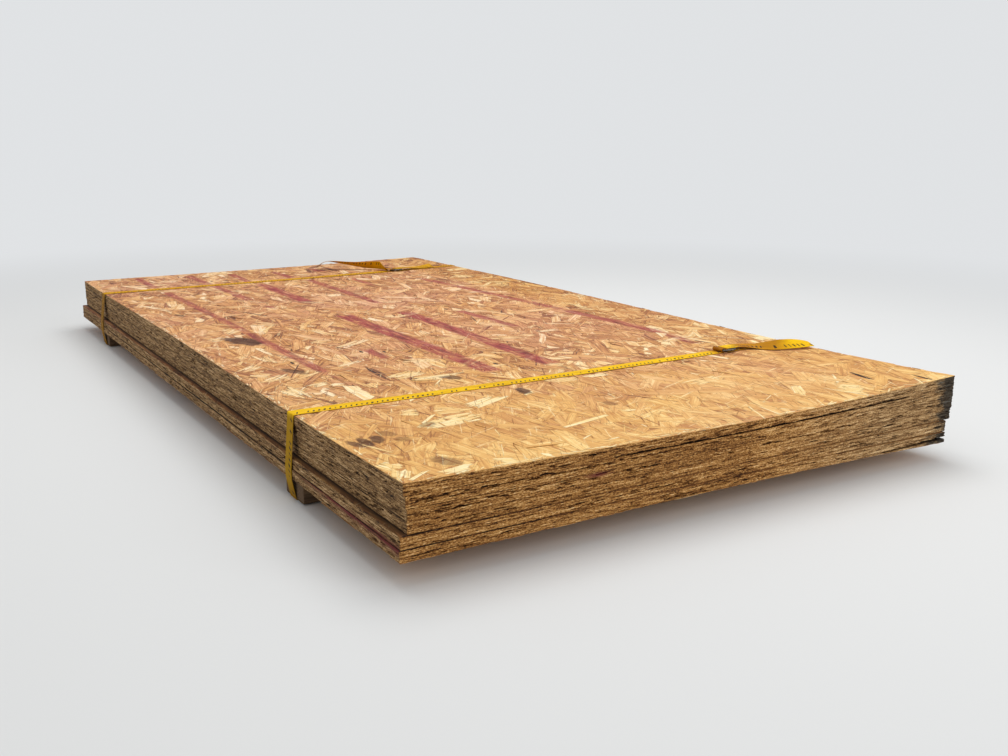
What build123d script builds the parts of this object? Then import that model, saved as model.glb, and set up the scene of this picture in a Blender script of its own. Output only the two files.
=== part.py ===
from build123d import *
from math import atan2, cos, degrees, radians, sin, tan
import os

# Stack of oriented strand board panels, lying on two boards and tied with two webbing straps.
# Millimetres. X runs across the panels, Y along them and Z up from the floor.
# The front end of the stack faces -Y.

# Panels
panel_width = 1219.0
panel_length = 2438.0
panel_thickness = 19.0
# Room left along the middle line, where the warped panels bear on each other
panel_gap = 0.4

# How each panel lies, from the bottom up: shift along X, shift along Y, turn about Z in degrees.
# The two lowest stick out on the left, as the stack was pushed askew before it was tied.
panel_places = [
    (-7.5, 1.0, 0.0),
    (-6.0, 3.0, 0.03),
    (7.5, 5.0, 0.0),
    (6.5, 2.0, 0.02),
    (5.0, 0.0, -0.04),
    (3.0, -2.0, -0.12),
]

# Weathered panels swell and curl along their edges, so the stack fans open there, and most at the
# front right corner. Each line is the rise of the stack's long edges over its middle line:
# underside left, underside right, top left, top right. The straps hold the edges down.
front_rises = (-3.8, -7.4, 4.2, 16.0)
front_strap_rises = (-2.4, -2.4, 0.8, 7.0)
middle_rises = (-4.5, -3.5, 5.0, 9.0)
rear_strap_rises = (-2.4, -2.4, 0.4, 6.0)
rear_rises = (-3.8, -3.8, 0.8, 4.0)
# Share of the fanning that is swollen board; the rest is open gap
swelling_share = 0.8

# Split in the front right corner of the lowest panel, from its underside up to its side
split_length = 190.0
split_depth = 28.0
split_opening = 3.5
split_height = 9.5
split_tip_height = 2.5
# How far a cut reaches out past the surface it starts from
cut_margin = 1.0

# Boards under the stack, laid flat
dunnage_length = 1219.0
dunnage_width = 89.0
dunnage_height = 38.0
dunnage_edge_radius = 3.0
front_dunnage_shift = -5.0
rear_dunnage_shift = 0.0

# Straps
strap_width = 32.0
strap_thickness = 1.2
strap_clearance = 0.4
strap_bend = 1.2
# Radius of the slight bends down the sides, where the panels stick out by different amounts
strap_side_radius = 12.0
# Radius of the gentle bends where a strap dips with the cupped top panel
strap_sag_radius = 3000.0
front_strap_inset = 462.0
rear_strap_inset = 323.0

# Wire buckles, one bent wire each
wire_diameter = 4.8
wire_clearance = 0.2
buckle_length = 38.0
buckle_side_room = 1.8
# Gap between each end of the wire and the side of the buckle
wire_end_gap = 0.8
buckle_bend = 4.6
# How far the middle of each buckle lies in from the panels' right edge
front_buckle_inset = 187.5
rear_buckle_inset = 224.5
# Length of the strap that runs straight past each end of a buckle, in the lap and beyond it
lap_room = 12.0
# How far the rolled end's tip reaches round the bar, in degrees past its lowest point
rolled_tip_angle = 60.0
# How far a loose tail starts inside the end of the lap it grows from
tail_root = 0.3

# Stations of a loose tail: distance along X from the buckle, shift along Y,
# height of the middle of the webbing over the strap below, turn of the webbing in plan,
# and roll about its own length, all in mm and degrees
front_tail = [
    (50.0, -3.0, 6.6, -8.0, 3.0),
    (68.0, -12.0, 5.2, -18.0, 6.0),
    (84.0, -26.0, 5.2, -27.0, 11.0),
    (96.0, -43.0, 7.6, -33.0, 22.0),
    (108.0, -58.0, 10.4, -33.0, 32.0),
    (128.0, -68.0, 11.6, -29.0, 31.0),
    (151.0, -76.0, 11.4, -26.0, 25.0),
    (169.0, -82.0, 10.2, -20.0, 17.0),
    (184.0, -87.0, 8.6, 0.0, 9.0),
]
rear_right_tail = [
    (58.0, 1.0, 5.8, 2.0, 2.0),
    (88.0, 2.0, 4.4, 3.0, 5.0),
    (116.0, 3.0, 5.4, 3.0, 9.0),
    (142.0, 4.0, 8.6, 3.0, 12.0),
]
rear_left_tail = [
    (-37.0, 6.0, 10.0, 156.0, 20.0),
    (-38.0, 20.0, 13.6, 124.0, 46.0),
    (-35.0, 38.0, 15.6, 110.0, 61.0),
    (-38.0, 54.0, 15.8, 124.0, 64.0),
    (-52.0, 72.0, 16.0, 140.0, 59.0),
    (-82.0, 96.0, 16.6, 144.0, 46.0),
    (-122.0, 126.0, 21.0, 146.0, 30.0),
    (-162.0, 153.0, 27.0, 147.0, 18.0),
    (-190.0, 171.0, 29.0, 148.0, 6.0),
    (-207.0, 181.0, 21.0, 150.0, 0.0),
    (-222.0, 189.0, 9.0, 150.0, 0.0),
]

panel_count = len(panel_places)
half_width = panel_width / 2
wire_radius = wire_diameter / 2
front_y = -panel_length / 2
front_strap_y = front_y + front_strap_inset
rear_strap_y = panel_length / 2 - rear_strap_inset
front_buckle_x = half_width - front_buckle_inset
rear_buckle_x = half_width - rear_buckle_inset
dunnage_bottom = strap_clearance + strap_thickness
dunnage_top = dunnage_bottom + dunnage_height
# The lowest panel's drooping edges bear on the boards
first_panel_z = dunnage_top + panel_gap - min(*front_strap_rises, *rear_strap_rises)

# Where the warp is known along the panels
warp_stations = [
    (front_y, front_rises),
    (front_strap_y, front_strap_rises),
    ((front_strap_y + rear_strap_y) / 2, middle_rises),
    (rear_strap_y, rear_strap_rises),
    (panel_length / 2, rear_rises),
]


def panel_base(index):
    """Height of a panel's underside on the middle line."""
    return first_panel_z + index * (panel_thickness + panel_gap)


def panel_rises(index, rises):
    """Rises of one panel's edges: low left, low right, high left and high right."""
    stack_low_left, stack_low_right, stack_high_left, stack_high_right = rises
    lows = []
    highs = []
    for bottom, top in ((stack_low_left, stack_high_left), (stack_low_right, stack_high_right)):
        swelling = swelling_share * (top - bottom) / panel_count
        step = (top - bottom - swelling) / (panel_count - 1)
        lows.append(bottom + index * step)
        highs.append(bottom + index * step + swelling)
    return *lows, *highs


def cup_height(x, left, right):
    """Height of a cupped line over its middle at x, given the rise of its two ends."""
    return (right if x > 0 else left) * (x / half_width) ** 2


def panel_edge_x(index, side, y):
    """Place of a panel's long edge at y, where side is -1 on the left and 1 on the right."""
    shift_x, shift_y, turn = panel_places[index]
    return shift_x + side * half_width / cos(radians(turn)) - (y - shift_y) * tan(radians(turn))


def cupped_line(height, left, right):
    """Two parabolas that run flat into each other on the middle line."""
    return [
        Bezier((-half_width, height + left), (-half_width / 2, height), (0, height)),
        Bezier((0, height), (half_width / 2, height), (half_width, height + right)),
    ]


def warped_section(rises):
    """Section across a cupped panel, with square-cut edges."""
    low_left, low_right, high_left, high_right = rises
    lower = cupped_line(0, low_left, low_right)
    upper = cupped_line(panel_thickness, high_left, high_right)
    left = Line(lower[0] @ 0, upper[0] @ 0)
    right = Line(lower[1] @ 1, upper[1] @ 1)
    return make_face([*lower, right, *upper, left])


def corner_split():
    """Wedge that opens the split in the front right corner of the lowest panel."""
    low_right = panel_rises(0, front_rises)[1]
    mouth_x = half_width + cut_margin
    mouth_z = low_right + split_height
    tip_x = half_width - split_length
    outline = Polyline(
        (mouth_x, mouth_z - split_opening / 2),
        (mouth_x, mouth_z + split_opening / 2),
        (tip_x, cup_height(tip_x, 0, low_right) + split_tip_height),
        close=True,
    )
    wedge_plane = Plane.XZ.offset(-front_y + cut_margin)
    return extrude(wedge_plane * make_face(outline), -(split_depth + cut_margin))


def make_panel(index):
    """One panel, lofted through its warped sections and laid in its place in the stack."""
    sections = []
    for y, rises in warp_stations:
        sections.append(Plane.XZ.offset(-y) * warped_section(panel_rises(index, rises)))
    panel = loft(sections)
    if index == 0:
        panel -= corner_split()
    shift_x, shift_y, turn = panel_places[index]
    return Pos(shift_x, shift_y, panel_base(index)) * Rot(0, 0, turn) * panel


def make_dunnage(y):
    """One board under the stack, with its long edges eased."""
    board = Pos(0, y, dunnage_bottom + dunnage_height / 2) * Box(
        dunnage_length, dunnage_width, dunnage_height
    )
    return fillet(board.edges().filter_by(Axis.X), dunnage_edge_radius)


# Heights over the middle of the lower layer of webbing in a buckle
layer_pitch = strap_thickness + wire_clearance
inner_wrap = wire_radius + wire_clearance + strap_thickness / 2
outer_wrap = inner_wrap + layer_pitch
wire_height = outer_wrap
over_height = wire_height + inner_wrap
middle_wrap = over_height / 2
end_bar_x = buckle_length / 2 - wire_radius
middle_bar_x = wire_radius + wire_clearance
lap_length = buckle_length / 2 + lap_room
seat_length = lap_length + lap_room


def panel_block(index, y, rises):
    """Corners of one panel where a strap crosses it, seen along Y, from the lower left one round."""
    low_left, low_right, high_left, high_right = panel_rises(index, rises)
    ends = (y - strap_width / 2, y + strap_width / 2)
    left = min(panel_edge_x(index, -1, end) for end in ends)
    right = max(panel_edge_x(index, 1, end) for end in ends)
    low = panel_base(index)
    high = low + panel_thickness
    lower = [(left, low + low_left), (right, low + low_right)]
    return [*lower, (right, high + high_right), (left, high + high_left)]


def top_height(x, rises):
    """Height of the top panel's upper face at x."""
    high_left, high_right = panel_rises(panel_count - 1, rises)[2:]
    return panel_base(panel_count - 1) + panel_thickness + cup_height(x, high_left, high_right)


def strap_hollow(y, rises, buckle_x):
    """Room over the cupped top panel that the strap dips into, straight where the buckle sits."""
    right, left = panel_block(panel_count - 1, y, rises)[2:]
    stops = [-half_width / 2, 0, buckle_x - seat_length, buckle_x + seat_length]
    surface = [(x, top_height(x, rises)) for x in stops]
    lid = max(left[1], right[1]) + cut_margin
    return make_face(Polyline(left, *surface, right, (right[0], lid), (left[0], lid), close=True))


def side_corners(loop, side, buckle_x):
    """Corners of the webbing's loop down one side of the stack, from the lowest up."""
    reach = buckle_x + 2 * seat_length
    return [corner for corner in loop.vertices().sort_by(Axis.Y) if side * corner.X > reach]


def strap_outline(y, rises, buckle_x):
    """Middle of the webbing round the panels and the board, seen along Y."""
    blocks = [Pos(0, dunnage_bottom + dunnage_height / 2) * Rectangle(dunnage_length, dunnage_height)]
    for index in range(panel_count):
        blocks.append(make_face(Polyline(*panel_block(index, y, rises), close=True)))
    hull = make_hull([edge for block in blocks for edge in block.edges()])
    wrapped = hull - strap_hollow(y, rises, buckle_x)
    loop = offset(wrapped, strap_clearance + strap_thickness / 2, kind=Kind.INTERSECTION)
    for side in (-1, 1):
        loop = fillet(side_corners(loop, side, buckle_x)[1:-1], strap_side_radius)
    for side in (-1, 1):
        corners = side_corners(loop, side, buckle_x)
        loop = fillet([corners[0], corners[-1]], strap_bend)
    sags = [corner for corner in loop.vertices() if abs(corner.X) < buckle_x + 2 * seat_length]
    return fillet(sags, strap_sag_radius)


def buckle_seat(rises, buckle_x):
    """Middle of the webbing under a buckle: its x, its height and its slope in degrees."""
    low = top_height(buckle_x - seat_length, rises)
    high = top_height(buckle_x + seat_length, rises)
    slope = atan2(high - low, 2 * seat_length)
    lift = strap_clearance + strap_thickness / 2
    return buckle_x - lift * sin(slope), (low + high) / 2 + lift * cos(slope), degrees(slope)


def middle_loop():
    """Strap end from the right: it turns up round the middle bars and goes back over to the right."""
    wrap = CenterArc((-middle_bar_x, middle_wrap), middle_wrap, -90, -180)
    over = Line((-middle_bar_x, over_height), (lap_length, over_height))
    return -middle_bar_x, [wrap, over]


def rolled_end():
    """Strap end from the left: it is rolled round the left bar, with its tip tucked in."""
    outer = CenterArc((-end_bar_x, wire_height), outer_wrap, -90, 180)
    drop_radius = (outer_wrap + inner_wrap) / 2
    drop_centre = (-end_bar_x, wire_height + (outer_wrap - inner_wrap) / 2)
    drop = CenterArc(drop_centre, drop_radius, 90, 180)
    tip = CenterArc((-end_bar_x, wire_height), inner_wrap, -90, rolled_tip_angle)
    return -end_bar_x, [outer, drop, tip]


def folded_end():
    """Strap end from the left: it turns up round the left bar and goes back over to the left."""
    wrap = CenterArc((-end_bar_x, middle_wrap), middle_wrap, -90, 180)
    over = Line((-end_bar_x, over_height), (-lap_length, over_height))
    return -end_bar_x, [wrap, over]


def strap_path(y, rises, buckle_x, left_end):
    """Middle of the webbing from one end in the buckle round the stack to the other, seen along Y."""
    x, z, slope = buckle_seat(rises, buckle_x)
    seat = Pos(x, z) * Rot(0, 0, slope)
    seat_line, *path = strap_outline(y, rises, buckle_x).edges().sort_by_distance((x, z))
    starts = seat_line.vertices().sort_by(Axis.X)
    for start, (bar_x, wraps) in zip(starts, (left_end, middle_loop())):
        path.append(Line((start.X, start.Y), (seat * Pos(bar_x, 0)).position))
        path += [seat * piece for piece in wraps]
    return path


def tail_section(station):
    """Cross-section of the webbing at one station of a loose tail."""
    along, across, height, turn, roll = station
    place = Pos(along, across, height) * Rot(0, 0, turn) * Rot(roll, 0, 0)
    return place * (Plane.YZ * Rectangle(strap_width, strap_thickness))


def make_tail(stations, side):
    """Loose tail, from the flat end of the lap over the buckle through its stations."""
    heading = 0.0 if side > 0 else 180.0
    root = (side * (lap_length - tail_root), 0.0, over_height, heading, 0.0)
    sections = [tail_section(station) for station in [root, *stations]]
    return loft(sections, ruled=True)


def make_strap(y, rises, buckle_x, left_end, tails):
    """One strap: the loop round the stack, both ends in the buckle and the loose tails."""
    band = trace(strap_path(y, rises, buckle_x, left_end), strap_thickness)
    strap = extrude(Plane.XZ.offset(-y - strap_width / 2) * band, strap_width)
    x, z, slope = buckle_seat(rises, buckle_x)
    for stations, side in tails:
        strap += Pos(x, y, z) * Rot(0, -slope, 0) * make_tail(stations, side)
    return strap


def make_buckle(y, rises, buckle_x):
    """Wire buckle: one wire bent into two loops whose inner bars lie side by side."""
    side_y = strap_width / 2 + buckle_side_room + wire_radius
    tip_y = -side_y + wire_radius + wire_end_gap
    path = FilletPolyline(
        (middle_bar_x, tip_y),
        (middle_bar_x, side_y),
        (end_bar_x, side_y),
        (end_bar_x, -side_y),
        (-end_bar_x, -side_y),
        (-end_bar_x, side_y),
        (-middle_bar_x, side_y),
        (-middle_bar_x, tip_y),
        radius=buckle_bend,
    )
    section = Plane(origin=path @ 0, z_dir=path % 0) * Circle(wire_radius)
    wire = sweep(section, path=path)
    x, z, slope = buckle_seat(rises, buckle_x)
    return Pos(x, y, z) * Rot(0, -slope, 0) * Pos(0, 0, wire_height) * wire


nodes = {}
for number in range(panel_count):
    nodes[f"panel_{number + 1}"] = make_panel(number)
nodes["front_dunnage"] = make_dunnage(front_strap_y + front_dunnage_shift)
nodes["rear_dunnage"] = make_dunnage(rear_strap_y + rear_dunnage_shift)
front_tails = [(front_tail, 1)]
nodes["front_strap"] = make_strap(
    front_strap_y, front_strap_rises, front_buckle_x, rolled_end(), front_tails
)
rear_tails = [(rear_left_tail, -1), (rear_right_tail, 1)]
nodes["rear_strap"] = make_strap(
    rear_strap_y, rear_strap_rises, rear_buckle_x, folded_end(), rear_tails
)
nodes["front_buckle"] = make_buckle(front_strap_y, front_strap_rises, front_buckle_x)
nodes["rear_buckle"] = make_buckle(rear_strap_y, rear_strap_rises, rear_buckle_x)

os.makedirs("parts", exist_ok=True)
for name, shape in nodes.items():
    export_step(shape, f"parts/{name}.step")
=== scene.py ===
import math

import bpy
import numpy as np
from mathutils import Matrix, Vector
from mathutils.bvhtree import BVHTree


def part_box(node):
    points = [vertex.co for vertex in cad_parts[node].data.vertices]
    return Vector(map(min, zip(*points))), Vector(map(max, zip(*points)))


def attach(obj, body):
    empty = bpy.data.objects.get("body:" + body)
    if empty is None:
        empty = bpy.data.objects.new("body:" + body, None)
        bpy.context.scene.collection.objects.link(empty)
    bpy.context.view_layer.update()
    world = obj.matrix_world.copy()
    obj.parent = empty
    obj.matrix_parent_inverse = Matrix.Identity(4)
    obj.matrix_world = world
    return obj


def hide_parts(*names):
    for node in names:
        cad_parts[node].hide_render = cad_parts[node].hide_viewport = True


bl_info = {
    "name": "Strapped stack of strand board",
    "version": (1, 0, 0),
    "blender": (4, 5, 0),
    "location": "View3D > Sidebar > Board stack",
    "description": "Dresses a strapped stack of strand board panels with strands, webbing, buckles and a stage",
    "category": "Object",
}

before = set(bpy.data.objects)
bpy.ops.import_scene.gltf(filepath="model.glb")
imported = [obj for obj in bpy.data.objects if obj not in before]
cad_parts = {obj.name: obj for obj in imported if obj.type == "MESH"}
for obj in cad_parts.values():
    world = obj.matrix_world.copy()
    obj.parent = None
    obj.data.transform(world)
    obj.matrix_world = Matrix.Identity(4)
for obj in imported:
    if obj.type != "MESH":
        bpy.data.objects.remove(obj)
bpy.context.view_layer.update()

# Sizes are in mm where nothing else is said, and in metres in the materials
MM = 0.001
PANEL_WIDTH, PANEL_LENGTH = 1219.0, 2438.0
HALF_WIDTH, HALF_LENGTH = PANEL_WIDTH / 2, PANEL_LENGTH / 2
BOTTOM_PANEL, TOP_PANEL = 1, 6
BOTTOM, TOP = 0, 1
FRONT, RIGHT, BACK, LEFT = range(4)
# Cells of the grids on which a panel's warp is read, rows of points up its sawn edges and the step along
# them, how far a face with loose strands is set back, and the cells and margin of the grid over each face
WARP_CELLS = 40
EDGE_ROWS, EDGE_STEP = 22, 5.0
COVER_DEPTH = 0.6
FACE_CELLS, FACE_MARGIN = (24, 40), 14.0
# Corners of a panel and the way out of each side, from the front left corner round by the right
CORNERS = np.array([(-1, -1), (1, -1), (1, 1), (-1, 1)]) * (HALF_WIDTH, HALF_LENGTH)
OUTWARD = np.array([(0.0, -1.0), (1.0, 0.0), (0.0, 1.0), (-1.0, 0.0)])
# Distance from a strand's rim that stands for no rim at all
NO_RIM = 10.0
# Length of the split in the lowest panel
SPLIT_LENGTH = 190.0
# Height of the top face and how far a nail hole reaches along X and Y, in metres
TOP_HEIGHT = 0.16
HOLE_SIZE = (0.0036, 0.011)

# Turn in degrees, width and length in metres of four sets of thin splinters, of which the last is pale
SPLINTERS = [(-26.0, 0.0042, 0.07), (9.0, 0.0036, 0.085), (38.0, 0.0045, 0.06), (-68.0, 0.0042, 0.06)]

# Shift along X, shift along Y and turn in degrees of each panel, from the bottom up
PANEL_PLACES = [
    (-7.5, 1.0, 0.0), (-6.0, 3.0, 0.03), (7.5, 5.0, 0.0), (6.5, 2.0, 0.02), (5.0, 0.0, -0.04), (3.0, -2.0, -0.12),
]

# Worn stripes of red paint on the top face: x and y of both ends, width and how well it holds
PAINT_STRIPES = [
    (-433, 835, -432, -490, 26, 0.8), (-438, 1205, -441, 935, 26, 0.9), (-436, -480, -425, -560, 8, 0.6),
    (-125, 165, -123, -660, 48, 1.0), (40, 130, 22, -665, 42, 1.0), (180, 60, 187, -250, 26, 0.85),
    (-261, -290, -259, -430, 27, 0.9), (-128, 860, -127, 420, 40, 1.0), (45, 870, 44, 286, 29, 0.85),
    (-274, 1171, -260, 525, 27, 0.85), (-135, 1145, -142, 900, 28, 0.9), (11, 1120, 16, 925, 28, 0.9),
    (155, 1143, 165, 1020, 28, 0.9), (180, 823, 180, 619, 20, 0.8), (372, 690, 424, -107, 28, 0.8),
    (424, -107, 445, -513, 32, 0.95), (445, -513, 424, -660, 26, 0.65), (-258, 418, -244, 349, 22, 0.7),
]

# Soft grey-brown stains on the top face: x, y, half length, half width, turn from the Y axis in degrees
# and strength
STAINS = [
    (-476, -74, 64, 30, 22, 1.0), (-512, 368, 24, 9, 18, 0.7), (-484, -440, 35, 14, 24, 0.85),
    (-226, -654, 22, 13, 40, 0.85), (-160, -826, 26, 12, -11, 0.95), (-431, -948, 18, 12, -60, 0.5),
    (-503, -1151, 28, 17, 20, 0.6), (-516, -960, 18, 13, 30, 0.45), (-505, -1006, 16, 12, 10, 0.45),
    (-73, -992, 15, 10, 0, 0.5), (-586, -992, 22, 9, 10, 0.85), (-566, -990, 24, 10, 2, 0.9),
    (-543, -984, 24, 11, -12, 0.9),
]

# Nail holes in the top face: x and y
NAIL_HOLES = [(160, 96), (-281, -321), (-235, -348), (-459, -357), (-81, -586)]

# Rows of open voids in the front edges: panel number, x from, x to, height in the panel, share open
VOID_ROWS = [
    (6, -190, 420, 0.06, 0.7), (5, -600, -280, 0.55, 0.7), (5, -260, 60, 0.62, 0.35), (4, -560, -250, 0.8, 0.5),
    (4, -600, -505, 0.4, 0.7), (4, -470, -120, 0.6, 0.6), (3, -560, -440, 0.55, 0.3), (4, 40, 330, 0.5, 0.35),
    (2, -300, 200, 0.5, 0.25),
]

# Painted shade: how grey each side's sawn edge is, from the front round by the right; the left lies deepest in
# shade
SIDE_SHADE_GREY = np.array([0.06, 0.45, 0.55, 0.8])

# Strands picked out on the top face: x, y, length, width, turn from the Y axis in degrees, tone, warmth
MARKED_STRANDS = [
    (480, -1097, 74, 8, -13, 0.0, 0.4), (558, -1185, 54, 6, -9, 0.0, 0.4), (-333, 305, 112, 7, 22, 0.12, 0.4),
    (-520, -696, 70, 9, 17, 0.16, 0.4), (23, -592, 140, 4, -34, 0.3, 0.9), (-265, -861, 120, 34, -65, 0.93, 0.0),
    (-389, -960, 111, 30, -80, 0.9, 0.0), (-420, -926, 83, 8, -44, 0.9, 0.1), (-346, -889, 78, 26, 83, 0.84, 0.0),
    (-421, -859, 34, 40, 60, 0.78, 0.1), (36, -793, 84, 17, 90, 0.94, 0.0),
    (-179, -1071, 116, 12, -76, 0.92, 0.0), (-420, -1199, 40, 30, 69, 0.8, 0.0),
    (-507, -1199, 68, 19, -75, 0.88, 0.0), (-572, -1198, 50, 8, -54, 0.9, 0.0),
    (-159, -850, 31, 12, -58, 0.9, 0.0), (-275, -638, 66, 26, 86, 0.8, 0.2), (-296, -579, 76, 30, -70, 0.82, 0.1),
    (-348, -1206, 26, 13, 21, 0.88, 0.0), (-237, -1153, 28, 4, -60, 0.95, 0.0),
    (-203, -1183, 22, 5, -81, 0.95, 0.0), (-72, -1049, 24, 12, 84, 0.9, 0.0), (171, -591, 80, 9, -49, 0.88, 0.1),
    (203, -946, 98, 34, -84, 0.82, 0.2), (292, -1114, 86, 18, -32, 0.84, 0.0),
    (387, -1157, 46, 50, 43, 0.82, 0.0), (594, -706, 60, 34, 5, 0.94, 0.0), (-480, -575, 52, 22, -67, 0.92, 0.0),
    (-549, -610, 50, 24, -75, 0.92, 0.0), (-452, -596, 30, 26, -88, 0.8, 0.1),
    (-362, -205, 68, 13, -31, 0.94, 0.0), (-257, -222, 108, 28, -51, 0.88, 0.0),
    (-528, -29, 38, 34, 89, 0.82, 0.0), (-380, 50, 110, 20, -37, 0.84, 0.0), (-292, -585, 84, 40, -77, 0.82, 0.1),
    (-249, -635, 123, 34, -80, 0.82, 0.2), (-456, 64, 90, 28, -45, 0.84, 0.0), (-12, 76, 58, 34, 89, 0.82, 0.1),
    (-363, -939, 89, 45, -90, 0.84, 0.0), (-411, -942, 71, 20, -59, 0.84, 0.0),
    (-352, -881, 55, 42, 70, 0.74, 0.0), (-586, -1131, 44, 34, 16, 0.84, 0.0),
    (-567, -1091, 39, 28, 36, 0.82, 0.0), (-590, -1180, 60, 26, -30, 0.86, 0.0),
    (229, -327, 67, 16, 89, 0.84, 0.2), (423, -590, 123, 34, -86, 0.8, 0.5), (505, -569, 98, 12, -28, 0.82, 0.1),
    (575, 101, 51, 9, -66, 0.95, 0.1), (599, 59, 43, 8, -3, 0.95, 0.1), (588, -29, 49, 9, -5, 0.95, 0.1),
    (589, -82, 26, 12, 52, 0.95, 0.1), (491, 435, 107, 14, -45, 0.86, 0.2), (-11, 59, 39, 20, -84, 0.86, 0.2),
    (381, -1161, 50, 60, 44, 0.8, 0.0),
]

# Strands strewn over the top besides: limits of x, y, length, width, turn, tone and warmth of the pale ones,
# how many of them there are, and how many lie in the torn fringe along the left and front edges
PALE_LIMITS = ((-590, 590), (-800, 1200), (40, 105), (15, 34), (-90, 90), (0.7, 0.84), (0, 0.5))
PALE_COUNT, FRINGE_COUNT = 70, 230
# How far from the middle of a strap no strand curls up
CURL_CLEARANCE = 60.0

# Points of one strand: four along its left side, four back along its right side, two on its middle line, and
# the eight of the ring once more below. Its faces, seen from above: triangles, squares and the underside
STRAND_POINTS = 18
STRAND_FACES = [
    [(7, 8, 0), (8, 1, 0), (6, 8, 7), (9, 3, 2), (4, 9, 5), (9, 4, 3)],
    [(8, 9, 2, 1), (5, 9, 8, 6)] + [(i, (i + 1) % 8, 10 + (i + 1) % 8, 10 + i) for i in range(8)],
    [tuple(range(10, 18))],
]

# Stations of the loose tails: along X from the buckle, across, height, turn and roll
FRONT_TAIL = [
    (50.0, -3.0, 6.6, -8.0, 3.0), (68.0, -12.0, 5.2, -18.0, 6.0), (84.0, -26.0, 5.2, -27.0, 11.0),
    (96.0, -43.0, 7.6, -33.0, 22.0), (108.0, -58.0, 10.4, -33.0, 32.0), (128.0, -68.0, 11.6, -29.0, 31.0),
    (151.0, -76.0, 11.4, -26.0, 25.0), (169.0, -82.0, 10.2, -20.0, 17.0), (184.0, -87.0, 8.6, 0.0, 9.0),
]
REAR_RIGHT_TAIL = [
    (58.0, 1.0, 5.8, 2.0, 2.0), (88.0, 2.0, 4.4, 3.0, 5.0), (116.0, 3.0, 5.4, 3.0, 9.0),
    (142.0, 4.0, 8.6, 3.0, 12.0),
]
REAR_LEFT_TAIL = [
    (-37.0, 6.0, 10.0, 156.0, 20.0), (-38.0, 20.0, 13.6, 124.0, 46.0), (-35.0, 38.0, 15.6, 110.0, 61.0),
    (-38.0, 54.0, 15.8, 124.0, 64.0), (-52.0, 72.0, 16.0, 140.0, 59.0), (-82.0, 96.0, 16.6, 144.0, 46.0),
    (-122.0, 126.0, 21.0, 146.0, 30.0), (-162.0, 153.0, 27.0, 147.0, 18.0), (-190.0, 171.0, 29.0, 148.0, 6.0),
    (-207.0, 181.0, 21.0, 150.0, 0.0), (-222.0, 189.0, 9.0, 150.0, 0.0),
]

# Straps seen along Y: place along Y, place and slope in degrees of the buckle's seat, corners of the middle of
# the webbing, how the left end goes, and the tails by side. The webbing's painted light has a least value, and
# that of one tail goes by side, distance off the strap where it starts, places along X from the buckle and its
# value there
FRONT_STRAP = {
    "y": -757.0,
    "seat": (421.984, 162.790, 0.9111),
    "corners": [
        (378.99, 162.11), (0.0, 159.4), (-304.75, 159.6), (-609.03, 160.2), (-618.0, 59.47), (-618.0, 39.9),
        (-610.32, 0.6), (610.41, 0.6), (618.0, 82.01), (618.0, 102.33), (617.27, 123.41), (614.98, 144.5),
        (611.82, 166.42), (464.98, 163.47),
    ],
    "left_end": "rolled",
    "tails": [(1, FRONT_TAIL)],
    "least_shade": 0.0,
    "tail_shade": (1, 1.0, [40, 105, 140], [1.0, 0.8, 0.15]),
}
REAR_STRAP = {
    "y": 896.0,
    "seat": (384.988, 161.824, 0.7125),
    "corners": [
        (341.99, 161.29), (0.0, 159.4), (-304.75, 159.5), (-605.52, 159.8), (-616.97, 79.36), (-618.0, 59.4),
        (-618.0, 39.9), (-610.32, 0.6), (610.41, 0.6), (618.0, 81.67), (618.0, 101.85), (615.37, 165.42),
        (427.99, 162.36),
    ],
    "left_end": "folded",
    "tails": [(-1, REAR_LEFT_TAIL), (1, REAR_RIGHT_TAIL)],
    "least_shade": 0.6,
    "tail_shade": (-1, 6.0, [-222, -208, -192, -60, -38], [1.35, 1.15, 0.6, 0.7, 0.2]),
}
STRAP_WIDTH = 32.0
STRAP_THICKNESS = 1.2
CORNER_RADIUS, ROUTE_SPACING = 1.8, 24.0
# Section of the webbing: shares of its half width and of its half thickness there
SECTION_ACROSS = [-1.0, -0.97, -0.9, -0.6, -0.2, 0.2, 0.6, 0.9, 0.97, 1.0]
SECTION_THICKNESS = [0.35, 0.8, 1.0, 1.0, 1.0, 1.0, 1.0, 1.0, 0.8, 0.35]

# Buckles: the wire's radius and its bends', the height and places along X of its bars, and its gaps to the
# webbing's side and to its own tip
WIRE_RADIUS = 2.4
WIRE_BEND = 4.6
WIRE_HEIGHT = 4.6
END_BAR_X = 16.6
MIDDLE_BAR_X = 2.6
SIDE_GAP, TIP_GAP = 1.8, 0.8
# Webbing at a buckle: the height of the layer over it, radii of the turns round its bars and points on each
# turn, and how far along X the webbing lies over it
OVER_HEIGHT = 7.8
INNER_WRAP, OUTER_WRAP, MIDDLE_WRAP = 3.2, 4.6, 3.9
WRAP_POINTS = 14
LAP_LENGTH = 31.0
# Radius of the dunnage boards' arrises
ARRIS_RADIUS = 3.0

# Stage in metres and degrees: lamps with their place, aim and size, and the camera
BACKDROP_COLOUR = (0.96, 0.98, 1.0, 1.0)
FLOOR_SIZE = 60.0
LAMPS = (
    ("over_light", (0.6, 0.2, 3.6), (0.0, 0.0, 0.1), 3.2),
    ("front_light", (1.4, -4.2, 1.9), (0.0, -0.6, 0.1), 2.4),
)
SENSOR_WIDTH, LENS = 36.0, 38.393
CAMERA_PLACE = (-1.23993, -2.55119, 0.66314)
CAMERA_TURN = (76.75, 0.09, -31.02)


def srgb(*parts):
    """Linear colour from sRGB values of 0 to 255."""
    shares = [part / 255 for part in parts]
    return tuple(share / 12.92 if share <= 0.04045 else ((share + 0.055) / 1.055) ** 2.4 for share in shares)


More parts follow.
